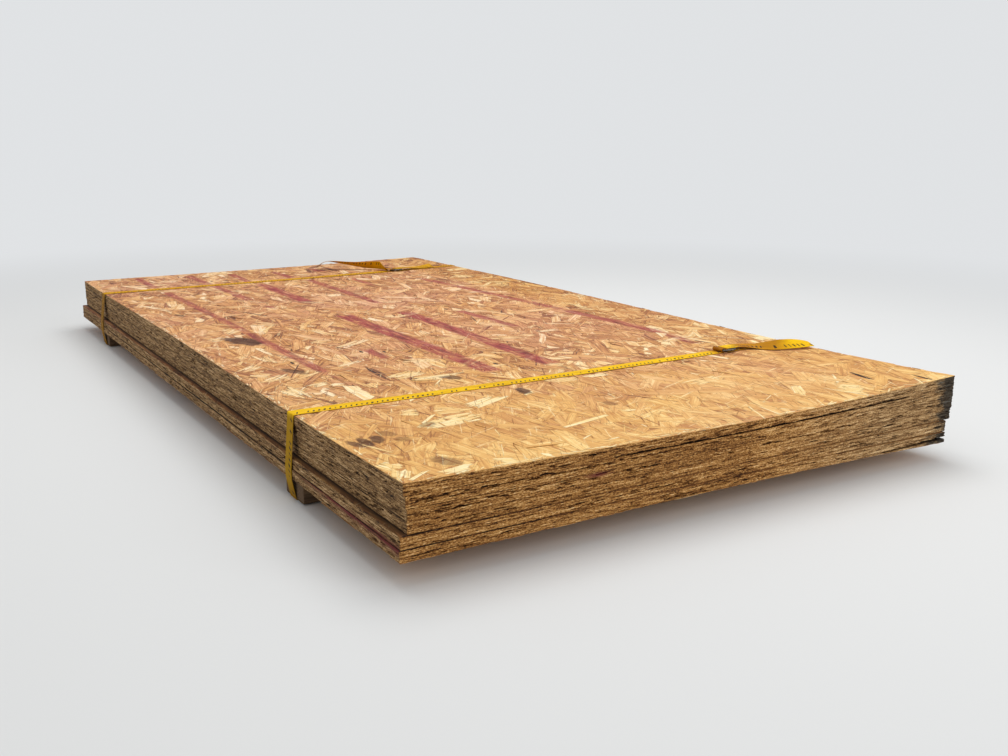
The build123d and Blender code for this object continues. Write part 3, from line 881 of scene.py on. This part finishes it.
        # The two lowest panels stick out on the left, so the top edge of panel 2 lies bare there
        bare = self.left & (self.number == 2)
        # Painted shade on the bare top edge of panel 2, deepest at the near end
        ledge_shade = np.interp(self.v, [-1219, -700, -200, 1219], [0.6, 0.45, 0.25, 0.15])
        if self.number > BOTTOM_PANEL:
            self.tone[0] -= seam
            self.hidden[0] = np.where(self.front, 0.2, 0.5)
        if self.number < TOP_PANEL:
            self.tone[-1] -= np.roll(seam, 50) * np.where(bare, 0.15, 0.8)
            self.hidden[-1] = np.where(self.front, 0.2, np.where(bare, ledge_shade, 0.5))
        else:
            self.tone[-1] = 0.5


def way_round(pieces):
    """How far round each point of a ring is, in sides, with the pieces of each side given."""
    return np.append(np.concatenate([np.arange(count) / count + side for side, count in enumerate(pieces)]), 4.0)


def zip_rings(outer, inner, outer_way, inner_way):
    """Triangles between two closed rings of point numbers."""
    triangles = []
    i = j = 0
    while i < len(outer) or j < len(inner):
        if j == len(inner) or (i < len(outer) and outer_way[i + 1] <= inner_way[j + 1]):
            triangles.append((outer[i], outer[(i + 1) % len(outer)], inner[j % len(inner)]))
            i += 1
        else:
            triangles.append((outer[i % len(outer)], inner[(j + 1) % len(inner)], inner[j]))
            j += 1
    return np.array(triangles)


def board_piece(shape, rng):
    """One panel: a closed slab with ragged sawn edges."""
    edge = SawnEdge(shape, rng)
    u, v = edge.u - edge.out_u * edge.back, edge.v - edge.out_v * edge.back
    distance = np.arange(edge.count) * EDGE_STEP
    side_uvs = np.stack([np.broadcast_to(distance, u.shape), edge.z], axis=-1) * MM
    names = ("tone", "grey", "red", "soot", "hidden")
    rows = {name: np.broadcast_to(getattr(edge, name), u.shape) for name in names}
    piece = Mesh("warmth", "inset", *names)
    piece.add(shape.points(u, v, edge.z), tube(*u.shape)[:1], side_uvs, slot=1, inset=NO_RIM, warmth=0.4, **rows)

    # Top and underside: a coarse grid inside, zipped to the fine perimeter, with the material of the faces
    grid_u, grid_v = np.meshgrid(*(
        np.linspace(-half + FACE_MARGIN, half - FACE_MARGIN, cells + 1)
        for half, cells in zip((HALF_WIDTH, HALF_LENGTH), FACE_CELLS)
    ), indexing="ij")
    cell = np.arange(grid_u.size).reshape(grid_u.shape)
    ring = np.concatenate([cell[:-1, 0], cell[-1, :-1], cell[:0:-1, -1], cell[0, :0:-1]])
    squares = np.stack([cell[:-1, :-1], cell[1:, :-1], cell[1:, 1:], cell[:-1, 1:]], axis=-1).reshape(-1, 4)
    ways = way_round(np.bincount(edge.side)), way_round(FACE_CELLS * 2)
    face_uvs = [np.stack(pair, axis=-1).reshape(-1, 2) for pair in ((v, u), (grid_v, grid_u), (grid_v, grid_u))]
    face_uvs = np.concatenate(face_uvs) * MM
    for face, row, order in ((BOTTOM, 0, -1), (TOP, EDGE_ROWS - 1, 1)):
        points = shape.points(grid_u, grid_v, shape.slab_height(face, grid_u, grid_v))
        # Faces covered by a neighbour get full painted shade
        covered = 0.0 if shape.is_outer(face) else 1.0
        first = piece.add_points(points, tone=0.45, warmth=0.4, inset=NO_RIM, hidden=covered)
        rim = np.arange(edge.count) + row * edge.count
        for faces in (zip_rings(rim, ring + first, *ways), squares + first):
            piece.add_faces(faces[:, ::order], face_uvs[faces[:, ::order].ravel()])
    return piece


def splintered(rng, strands):
    """Wide pale strands broken up lengthways into a few ragged splinters each."""
    result = []
    for x, y, long, wide, turn, tone, warmth in strands:
        parts = int(round(wide / 6)) if tone > 0.6 and wide > 14 else 1
        across = (math.cos(math.radians(turn)), math.sin(math.radians(turn)))
        for part in range(parts):
            shift, slide, length, width, lean = 0.0, 0.0, long, wide, turn
            if parts > 1:
                shift = (part - (parts - 1) / 2) * wide / parts
                slide = rng.uniform(-0.16, 0.16) * long
                length = long * rng.uniform(0.5, 0.95)
                width = wide / parts * rng.uniform(1.1, 1.7)
                lean = turn + rng.normal(0, 6)
            place = (x + across[0] * shift - across[1] * slide, y + across[1] * shift + across[0] * slide)
            result.append((*place, length, width, lean, tone + rng.uniform(-0.07, 0.05) * (parts > 1), warmth))
    return result


def scattered_strands(rng, board, under):
    """Strands all over a panel: rows of u, v, length, width, turn, tone, warmth and level."""
    spacing = board.strand_spacing / MM * (1.6 if under else 1.0)
    u, v = np.meshgrid(*(
        (np.arange(int(size / spacing)) + 0.5) * size / int(size / spacing) - size / 2
        for size in (PANEL_WIDTH, PANEL_LENGTH)
    ))
    u, v = (grid.ravel() + rng.uniform(-0.9, 0.9, grid.size) * spacing for grid in (u, v))
    count = len(u)

    def some(part, low, high, values):
        """Values of which a random part is drawn anew between low and high."""
        return np.where(rng.random(count) < part, rng.uniform(low, high, count), values)

    long, wide = (
        rng.triangular(least, usual / MM * mode, usual / MM * most, count)
        for least, usual, mode, most in ((38, board.strand_length, 0.8, 1.4), (6, board.strand_width, 0.85, 1.9))
    )
    sliver = rng.random(count) < 0.3
    wide = np.where(sliver, rng.uniform(2.0, 5.5, count), wide)
    turn = some(0.2, -90, 90, rng.normal(0, 27, count))
    behind = v > -HALF_LENGTH + 420
    spread = np.where(behind, np.where(v > 350, 0.125, 0.095), 0.04)
    tone = np.clip(rng.normal(0.53, spread), 0.2, 0.8)
    tone = some(np.where(sliver, np.where(behind, 0.24, 0.12), np.where(behind, 0.04, 0.0)), 0.74, 0.94, tone)
    tone = some(np.where(sliver, np.where(behind, 0.22, 0.13), 0.006), 0.24, 0.42, tone)
    warmth = rng.random(count)
    level = rng.uniform(-0.55, -0.06, count)
    if not under:
        # The strips along the front and right edges are fresher and more golden
        fresh = share((-HALF_LENGTH + 330 + 80 * np.sin(u / 130) - v) / 220)
        palest = share((-HALF_LENGTH + 110 + 50 * np.sin(u / 90) - v) / 90) * np.where(u < -330, 0.06, 0.03)
        tone = share(tone + fresh * np.interp(u, [-450, -150], [0.0, 0.08]) + palest)
        fresh = np.maximum(fresh, share((u - 425 - 20 * np.sin(v / 150)) / 40))
        warmth = warmth * (1 - 0.85 * fresh)
    return np.stack([u, v, long, wide, turn, tone, warmth, level], axis=1)


def pale_strands(rng):
    """Pale strands on the top face in x and y: a few anywhere, a torn fringe, and the marked ones."""
    strands = [tuple(rng.uniform(*limits) for limits in PALE_LIMITS) for _ in range(PALE_COUNT)]
    # The fringe runs along the left and front edges
    for _ in range(FRINGE_COUNT):
        at_left = rng.random() < 0.62
        if at_left:
            x, y = -HALF_WIDTH + rng.uniform(2, 13), rng.uniform(-1210, 600)
        else:
            x, y = rng.uniform(-600, 600), -HALF_LENGTH + rng.uniform(2, 9)
        turn = rng.normal(0, 22) + (0 if at_left else 90)
        strands.append((x, y, rng.uniform(8, 34), rng.uniform(1.5, 5), turn, rng.uniform(0.7, 1.0), 0.1))
    return np.array(splintered(rng, strands + MARKED_STRANDS), float)


def strand_layer(shape, rng, board, under):
    """Loose flat strands over one face of a panel, each a thin closed flake with grain of its own."""
    strands = scattered_strands(rng, board, under)
    if not under:
        pale = pale_strands(rng)
        pale[:, :2] -= (shape.shift_x, shape.shift_y)
        level = rng.uniform(-0.08, -0.02, len(pale))
        strands = np.concatenate([strands, np.column_stack([pale, level])])
    count = len(strands)
    u, v, long, wide, turn, tone, warmth, level = strands.T[:, :, None]

    # Four stations along each strand, a along it and b to its left, then the ring and its middle line
    stations = np.array([-0.5, -0.17, 0.17, 0.5]) + rng.uniform(-0.04, 0.04, (count, 4))
    taper = np.ones((count, 4))
    for end in (0, 3):
        blunt = rng.random(count) < 0.6
        taper[:, end] = np.where(blunt, rng.uniform(0.75, 1.0, count), rng.uniform(0.05, 0.7, count))
    taper[:, 1:3] = rng.uniform(0.88, 1.0, (count, 2))
    middle = rng.normal(0, 0.04, (count, 4)) * wide
    skew = rng.normal(0, 0.45, (count, 2)) * np.minimum(wide, long * 0.4)
    half = taper * wide / 2
    a = stations * long
    left_a, right_a = a.copy(), a.copy()
    left_a[:, [0, 3]] += skew
    right_a[:, [0, 3]] -= skew
    a = np.concatenate([left_a, right_a[:, ::-1], a[:, 1:3]], axis=1)
    b = np.concatenate([middle + half, (middle - half)[:, ::-1], middle[:, 1:3]], axis=1)
    sine, cosine = np.sin(np.radians(turn)), np.cos(np.radians(turn))
    u = np.clip(u - a * sine - b * cosine, -HALF_WIDTH, HALF_WIDTH)
    along_v = v + a * cosine - b * sine
    lift = np.zeros(u.shape)
    if not under:
        # One end of a few strands curls up, but not by the straps
        curled = (rng.random((count, 1)) < 0.12) & (level > -0.3)
        for strap in (FRONT_STRAP, REAR_STRAP):
            curled &= np.abs(v + shape.shift_y - strap["y"]) >= CURL_CLEARANCE
        lift[:, 3:5] = curled * rng.uniform(0.3, 1.6, (count, 1))
    v = np.clip(along_v, -HALF_LENGTH, HALF_LENGTH)
    surface = shape.height(BOTTOM if under else TOP, u, v)
    sign = -1.0 if under else 1.0
    top = shape.points(u, v, surface + sign * (level + lift))
    bottom = shape.points(u[:, :8], v[:, :8], surface[:, :8] - sign * (COVER_DEPTH + 0.15))
    offset = rng.uniform(0, 40, (count, 1, 2))
    uvs = np.stack([a, b], axis=-1) * MM + offset
    blocks = []
    for block in STRAND_FACES:
        block = np.array(block)[:, ::-1 if under else 1]
        first = np.arange(count)[:, None, None] * STRAND_POINTS
        blocks.append((first + block).reshape(-1, block.shape[1]))
    inset = np.zeros((count, STRAND_POINTS))
    inset[:, 8:10] = wide / 2
    layer = Mesh("tone", "warmth", "inset", "hidden")
    layer.add(
        np.concatenate([top, bottom], axis=1), blocks, np.concatenate([uvs, uvs[:, :8]], axis=1),
        tone=np.broadcast_to(tone, inset.shape), warmth=np.broadcast_to(warmth, inset.shape), inset=inset,
    )
    return layer


def dense_line(points, spacing):
    """The points of a polyline, with more between them where they are far apart."""
    dense = [points[0]]
    for start, stop in zip(points, points[1:]):
        pieces = max(1, int(np.linalg.norm(stop - start) / spacing))
        dense += [start + (stop - start) * step / pieces for step in range(1, pieces + 1)]
    return np.array(dense)


def rounded_route(corners, radius, spacing):
    """Points along a polyline whose corners are rounded, apart from the slight ones."""
    corners = np.array(corners, float)
    points = [corners[0]]
    for before, corner, after in zip(corners, corners[1:], corners[2:]):
        first = (before - corner) / np.linalg.norm(before - corner)
        second = (after - corner) / np.linalg.norm(after - corner)
        bend = math.pi - math.acos(np.clip(first @ second, -1, 1))
        if bend < 0.25:
            points.append(corner)
            continue
        centre = corner + (first + second) / np.linalg.norm(first + second) * radius / math.cos(bend / 2)
        reach = radius * math.tan(bend / 2)
        begin, end = (math.atan2(*(corner + way * reach - centre)[::-1]) for way in (first, second))
        sweep = (end - begin + math.pi) % (2 * math.pi) - math.pi
        points += list(arc(centre, radius, math.degrees(begin), math.degrees(sweep), 7))
    points.append(corners[-1])
    return dense_line(points, spacing)


def arc(centre, radius, start, sweep, count):
    """Points on an arc, from one angle in degrees on over a sweep."""
    a = np.radians(start + sweep * np.linspace(0, 1, count))
    return np.stack([centre[0] + radius * np.cos(a), centre[1] + radius * np.sin(a)], axis=1)


def smooth_stations(stations, steps=7):
    """Catmull-Rom curve through rows of numbers."""
    rows = np.array(stations, float)
    padded = np.concatenate([[2 * rows[0] - rows[1]], rows, [2 * rows[-1] - rows[-2]]])
    result = []
    for p0, p1, p2, p3 in zip(padded, padded[1:], padded[2:], padded[3:]):
        for t in np.arange(steps) / steps:
            square, cube = 2 * p0 - 5 * p1 + 4 * p2 - p3, 3 * p1 - p0 - 3 * p2 + p3
            result.append(0.5 * (2 * p1 + (p2 - p0) * t + square * t ** 2 + cube * t ** 3))
    return np.array([*result, rows[-1]])


def seat_tilt(strap):
    """Turns a way given on the slope under the buckle into one in the frame."""
    return np.array(Matrix.Rotation(-math.radians(strap["seat"][2]), 3, "Y")).T


def seated(strap, points):
    """Places in the frame of points given from the buckle's seat on the top panel."""
    x, z, _ = strap["seat"]
    return points @ seat_tilt(strap) + [x, strap["y"], z]


def upright(points, y=0.0):
    """Points seen along Y, as places at one y."""
    return np.insert(np.array(points, float), 1, y, axis=1)


def tail_frames(strap, stations, side):
    """Centres and across directions of a loose tail, from its root on the buckle outwards."""
    root = (side * LAP_LENGTH, 0.0, OVER_HEIGHT, 0.0 if side > 0 else 180.0, 0.0)
    rows = smooth_stations([root, *stations])
    turn, roll = np.radians(rows[:, 3]), np.radians(rows[:, 4])
    across = np.stack([-np.sin(turn) * np.cos(roll), np.cos(turn) * np.cos(roll), np.sin(roll)], axis=1)
    return seated(strap, rows[:, :3]), across @ seat_tilt(strap)


def strap_frames(strap):
    """Centres and across directions of one strap, from its left end round the stack to its right end."""
    bar = (-END_BAR_X, WIRE_HEIGHT)
    if strap["left_end"] == "rolled":
        tip = arc(bar, INNER_WRAP, -30, -60, 6)
        drop_centre = (-END_BAR_X, WIRE_HEIGHT + (OUTER_WRAP - INNER_WRAP) / 2)
        drop = arc(drop_centre, (OUTER_WRAP + INNER_WRAP) / 2, 270, -180, WRAP_POINTS)[1:]
        left = np.concatenate([tip, drop, arc(bar, OUTER_WRAP, 90, -180, WRAP_POINTS)[1:]])
    else:
        over = [(-LAP_LENGTH, OVER_HEIGHT), (-END_BAR_X - 6, OVER_HEIGHT)]
        left = np.concatenate([over, arc((-END_BAR_X, MIDDLE_WRAP), MIDDLE_WRAP, 90, -180, WRAP_POINTS)])
    wrap = arc((-MIDDLE_BAR_X, MIDDLE_WRAP), MIDDLE_WRAP, -90, -180, WRAP_POINTS)
    right = np.concatenate([wrap, [(x, OVER_HEIGHT) for x in (8.0, 20.0, LAP_LENGTH)]])
    route = rounded_route(strap["corners"], CORNER_RADIUS, ROUTE_SPACING)
    centres = [seated(strap, upright(left)), upright(route, strap["y"]), seated(strap, upright(right))]
    centres = np.concatenate(centres)
    across = np.tile([0.0, 1.0, 0.0], (len(centres), 1))
    for side, stations in strap["tails"]:
        tail, tail_across = tail_frames(strap, stations, side)
        if side > 0:
            centres, across = np.concatenate([centres, tail[1:]]), np.concatenate([across, tail_across[1:]])
        else:
            centres, across = np.concatenate([tail[:0:-1], centres]), np.concatenate([-tail_across[:0:-1], across])
    return centres, across


def strap_painted_light(strap, centres):
    """Painted light on the webbing: 0 is yellow with sky sheen, 1 amber without it and in shade, over 1 brown in
    deep shade.
    """
    beside, off, height = centres[:, 0] - strap["seat"][0], np.abs(centres[:, 1] - strap["y"]), centres[:, 2]
    on_top = height > 150
    wear_and_shade = np.full(len(centres), 0.12)
    # Amber as painted light: on top to the right of the buckle, where no sky sheen shows, and low down in shade
    wear_and_shade[on_top & (beside > 30) & (off < 1)] = 0.75
    wear_and_shade[height < 30] = 0.5
    wear_and_shade = np.maximum(wear_and_shade, strap["least_shade"])
    side, distance, places, values = strap["tail_shade"]
    tail = (off > distance) & (beside * side > 0)
    wear_and_shade[tail] = np.interp(beside[tail], places, values)
    # Painted deep shade in the fold round the buckle's left bar
    wear_and_shade[on_top & (np.abs(beside + 15) < 11) & (off < 1)] = 1.2
    return wear_and_shade


def unit(rows):
    return rows / np.linalg.norm(rows, axis=1, keepdims=True)


def webbing_piece(name, centres, across, wear_and_shade, material):
    """Closed strip of webbing with soft edges along its centres."""
    tangent = unit(np.gradient(centres, axis=0))
    across = unit(across - tangent * np.sum(across * tangent, axis=1, keepdims=True))
    normal = np.cross(tangent, across)
    b, t = np.array(SECTION_ACROSS) * (STRAP_WIDTH / 2), np.array(SECTION_THICKNESS) * (STRAP_THICKNESS / 2)
    b, t = np.concatenate([b, b[::-1]]), np.concatenate([t, -t[::-1]])
    points = centres[:, None] + across[:, None] * b[:, None] + normal[:, None] * t[:, None]
    distance = np.append(0.0, np.cumsum(np.linalg.norm(np.diff(centres, axis=0), axis=1)))
    uvs = np.stack(np.broadcast_arrays(distance[:, None], b), axis=-1) * MM
    piece = Mesh("worn")
    piece.add(points * MM, tube(len(centres), len(b)), uvs, worn=np.repeat(wear_and_shade, len(b)))
    return piece.build(name, [material], smooth=True)


def wire_piece(name, strap, material):
    """Wire buckle: one round wire bent into two loops."""
    side_y = STRAP_WIDTH / 2 + SIDE_GAP + WIRE_RADIUS
    tip_y = -side_y + WIRE_RADIUS + TIP_GAP
    corners = [
        (MIDDLE_BAR_X, tip_y), (MIDDLE_BAR_X, side_y), (END_BAR_X, side_y), (END_BAR_X, -side_y),
        (-END_BAR_X, -side_y), (-END_BAR_X, side_y), (-MIDDLE_BAR_X, side_y), (-MIDDLE_BAR_X, tip_y),
    ]
    centres = np.insert(rounded_route(corners, WIRE_BEND, 6.0), 2, WIRE_HEIGHT, axis=1)
    up = np.array([0.0, 0.0, 1.0])
    sideways = np.cross(unit(np.gradient(centres, axis=0)), up)
    a = np.linspace(0, 2 * math.pi, 14, endpoint=False)[:, None]
    points = centres[:, None] + (sideways[:, None] * np.cos(a) + up * np.sin(a)) * WIRE_RADIUS
    piece = Mesh()
    piece.add(seated(strap, points) * MM, tube(len(centres), len(a), flip=True))
    return piece.build(name, [material], smooth=True)


def dunnage_piece(node_name, material, rng):
    """Weathered board under the stack, with eased arrises, a slightly rough surface and end grain."""
    low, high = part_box(node_name)
    _, width, height = (high - low) / MM
    middle_y, middle_z = (low.y + high.y) / 2 / MM, (low.z + high.z) / 2 / MM
    half_y, half_z = width / 2 - ARRIS_RADIUS, height / 2 - ARRIS_RADIUS
    ring = np.concatenate([
        arc((way_y * half_y, way_z * half_z), ARRIS_RADIUS, start, 90, 4)
        for way_y, way_z, start in ((1, 1, 0), (-1, 1, 90), (-1, -1, 180), (1, -1, 270))
    ])
    ring = dense_line([*ring, ring[0]], 8.0)[:-1]
    xs = np.linspace(low.x / MM, high.x / MM, 82)
    xs[1], xs[-2] = xs[0] + 1.0, xs[-1] - 1.0
    size, count = len(ring), len(xs)
    shrink = 1 - rng.uniform(0.0, 0.02, size) * rng.uniform(0.3, 1.0, (count, 1))
    shrink[[0, -1]] *= 0.985
    xs = np.broadcast_to(xs[:, None], shrink.shape)
    points = np.stack([xs, middle_y + ring[:, 0] * shrink, middle_z + ring[:, 1] * shrink], axis=-1)
    piece = Mesh("end_grain")
    piece.add(points * MM, tube(count, size, flip=True)[:1])
    here = np.arange(size)
    after = np.roll(here, -1)
    band = np.stack([here, after, after + size, here + size], axis=-1)
    fan = np.stack([here + size, after + size, np.full(size, 2 * size)], axis=-1)
    for end, order in ((0, -1), (-1, 1)):
        rim = points[end]
        centre = rim.mean(axis=0, keepdims=True)
        cap = np.concatenate([rim, centre + (rim - centre) * 0.6, centre])
        piece.add(cap * MM, [band[:, ::order], fan[:, ::order]], end_grain=1.0)
    built = piece.build(node_name + "_board", [material])
    built.modifiers.new("weld", "WELD").merge_threshold = 0.00001
    return built


def finish_piece(piece, slot, *nodes):
    """Rides on the stack's body and hides what it stands for. Its slot is not used."""
    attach(piece, "root")
    if nodes:
        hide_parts(*nodes)


def number_property(name, description, default, **options):
    return bpy.props.FloatProperty(name=name, description=description, default=default, **options)


def colour_property(name, description, default):
    return bpy.props.FloatVectorProperty(
        name=name, description=description, default=default, subtype="COLOR", size=3
    )


class BoardSettings(bpy.types.PropertyGroup):
    strand_length: number_property("Strand length", "Usual length of a strand on the face", 0.112, unit="LENGTH")
    strand_width: number_property("Strand width", "Usual width of a strand on the face", 0.026, unit="LENGTH")
    strand_spacing: number_property(
        "Strand spacing", "Distance between the middles of strands on the top face", 0.0255, unit="LENGTH"
    )
    void_count: bpy.props.IntProperty(
        name="Voids", description="Gaps between strands in the edges of each panel", default=520
    )
    paint_colour: colour_property("Paint", "Red paint of the stripes on the top face", (0.38, 0.048, 0.055))
    edge_stain_colour: colour_property("Edge stain", "Red stain between the lowest panels", (0.16, 0.03, 0.028))
    # Colour of the painted shadow line round each strand
    rim_shadow_colour: colour_property("Rim shadow", "Thin line between strands", srgb(107.1, 68.85, 43.35))
    seed: bpy.props.IntProperty(
        name="Seed", description="Start of the random numbers for the strands", default=7
    )


class StrapSettings(bpy.types.PropertyGroup):
    dash_pitch: number_property(
        "Dash pitch", "Distance from one printed dash to the next", 0.0105, unit="LENGTH"
    )
    dash_colour: colour_property("Dashes", "Colour of the printed dashes", (0.015, 0.013, 0.01))


class StageSettings(bpy.types.PropertyGroup):
    floor_colour: colour_property("Floor", "Colour of the plain floor", (0.74, 0.74, 0.73))
    backdrop: number_property("Backdrop", "Brightness of the plain background, where 1 is white", 0.78)
    key_power: number_property("Main light", "Power of the large lamp over the stack", 95.0)
    side_power: number_property("Side light", "Power of the lamp by the front", 40.0)
    sky_strength: number_property("Surroundings", "Strength of the even light all round", 0.55)


class StackSettings(bpy.types.PropertyGroup):
    board: bpy.props.PointerProperty(type=BoardSettings)
    strap: bpy.props.PointerProperty(type=StrapSettings)
    stage: bpy.props.PointerProperty(type=StageSettings)


def settings_of():
    return bpy.context.scene.board_stack


class BuildPanels(bpy.types.Operator):
    """Build the six panels with their ragged sawn edges and the strands on the outer faces"""

    bl_idname = "board_stack.panels"
    bl_label = "Panels"

    def execute(self, context):
        board = settings_of().board
        face = strand_material(board)
        edge = edge_material(board)
        for number in range(BOTTOM_PANEL, TOP_PANEL + 1):
            rng = np.random.default_rng(board.seed * 100 + number)
            shape = BoardShape(number)
            piece = board_piece(shape, rng).build(f"panel_{number}_board", [face, edge])
            finish_piece(piece, "osb", f"panel_{number}")
            if number in (BOTTOM_PANEL, TOP_PANEL):
                under = number == BOTTOM_PANEL
                layer = strand_layer(shape, rng, board, under)
                finish_piece(layer.build("under_strands" if under else "top_strands", [face]), "osb")
        return {"FINISHED"}


class BuildDunnage(bpy.types.Operator):
    """Build the two weathered boards that the stack lies on"""

    bl_idname = "board_stack.dunnage"
    bl_label = "Dunnage boards"

    def execute(self, context):
        material = dunnage_material()
        for seed, node in ((50, "front_dunnage"), (51, "rear_dunnage")):
            piece = dunnage_piece(node, material, np.random.default_rng(seed))
            finish_piece(piece, "dunnage_wood", node)
        return {"FINISHED"}


class BuildStraps(bpy.types.Operator):
    """Build the two straps with their threaded ends and loose tails"""

    bl_idname = "board_stack.straps"
    bl_label = "Straps"

    def execute(self, context):
        material = webbing_material(settings_of().strap)
        for node, strap in (("front_strap", FRONT_STRAP), ("rear_strap", REAR_STRAP)):
            centres, across = strap_frames(strap)
            wear_and_shade = strap_painted_light(strap, centres)
            piece = webbing_piece(node + "_webbing", centres, across, wear_and_shade, material)
            finish_piece(piece, "webbing", node)
        return {"FINISHED"}


class BuildBuckles(bpy.types.Operator):
    """Build the two bent wire buckles"""

    bl_idname = "board_stack.buckles"
    bl_label = "Buckles"

    def execute(self, context):
        material = buckle_material()
        for node, strap in (("front_buckle", FRONT_STRAP), ("rear_buckle", REAR_STRAP)):
            piece = wire_piece(node + "_wire", strap, material)
            finish_piece(piece, "buckle_steel", node)
        return {"FINISHED"}


class BuildStage(bpy.types.Operator):
    """Build the plain floor, the soft lights and the camera"""

    bl_idname = "board_stack.stage"
    bl_label = "Stage"

    def execute(self, context):
        stage = settings_of().stage
        scene = context.scene
        size = FLOOR_SIZE / 2
        corners = [(-size, -size, 0), (size, -size, 0), (size, size, 0), (-size, size, 0)]
        mesh = bpy.data.meshes.new("floor")
        mesh.from_pydata(corners, [], [(0, 1, 2, 3)])
        mesh.materials.append(floor_material(stage.floor_colour, stage.backdrop))
        floor = linked("floor", mesh)
        floor.location.z = -0.0005

        # The surroundings light the stack evenly, and look like the backdrop
        scene.world = bpy.data.worlds.new("studio")
        nodes = Nodes(scene.world)
        seen = nodes.rays("Camera", "Glossy", "Transmission")
        background = nodes.tree.nodes["Background"].inputs
        nodes.join(background["Color"], BACKDROP_COLOUR)
        strength = nodes.line(seen, stage.backdrop - stage.sky_strength, stage.sky_strength)
        nodes.join(background["Strength"], strength)

        for (name, place, aim, extent), power in zip(LAMPS, (stage.key_power, stage.side_power)):
            data = bpy.data.lights.new(name, "AREA")
            data.shape = "SQUARE"
            data.size = extent
            data.energy = power
            lamp = linked(name, data)
            lamp.location = place
            lamp.rotation_euler = (Vector(aim) - Vector(place)).to_track_quat("-Z", "Y").to_euler()

        data = bpy.data.cameras.new("camera")
        data.sensor_width = SENSOR_WIDTH
        data.lens = LENS
        data.clip_end = 100.0
        camera = linked("camera", data)
        camera.location = CAMERA_PLACE
        camera.rotation_euler = [math.radians(turn) for turn in CAMERA_TURN]
        scene.camera = camera
        scene.view_settings.view_transform = "Standard"
        return {"FINISHED"}


class StackPanel(bpy.types.Panel):
    """Lists the pieces of the stack and their sizes and colours"""

    bl_idname = "VIEW3D_PT_board_stack"
    bl_label = "Board stack"
    bl_space_type = "VIEW_3D"
    bl_region_type = "UI"
    bl_category = "Board stack"

    def draw(self, context):
        settings = context.scene.board_stack
        for operator in OPERATORS:
            self.layout.operator(operator.bl_idname)
        for group in (settings.board, settings.strap, settings.stage):
            box = self.layout.box()
            for name in group.__annotations__:
                box.prop(group, name)


OPERATORS = (BuildStage, BuildPanels, BuildDunnage, BuildStraps, BuildBuckles)
CLASSES = (BoardSettings, StrapSettings, StageSettings, StackSettings, *OPERATORS, StackPanel)


def register():
    for kind in CLASSES:
        bpy.utils.register_class(kind)
    bpy.types.Scene.board_stack = bpy.props.PointerProperty(type=StackSettings)


def unregister():
    del bpy.types.Scene.board_stack
    for kind in reversed(CLASSES):
        bpy.utils.unregister_class(kind)


def main():
    register()
    for name in ("stage", "panels", "dunnage", "straps", "buckles"):
        getattr(bpy.ops.board_stack, name)()


if __name__ == "__main__":
    main()
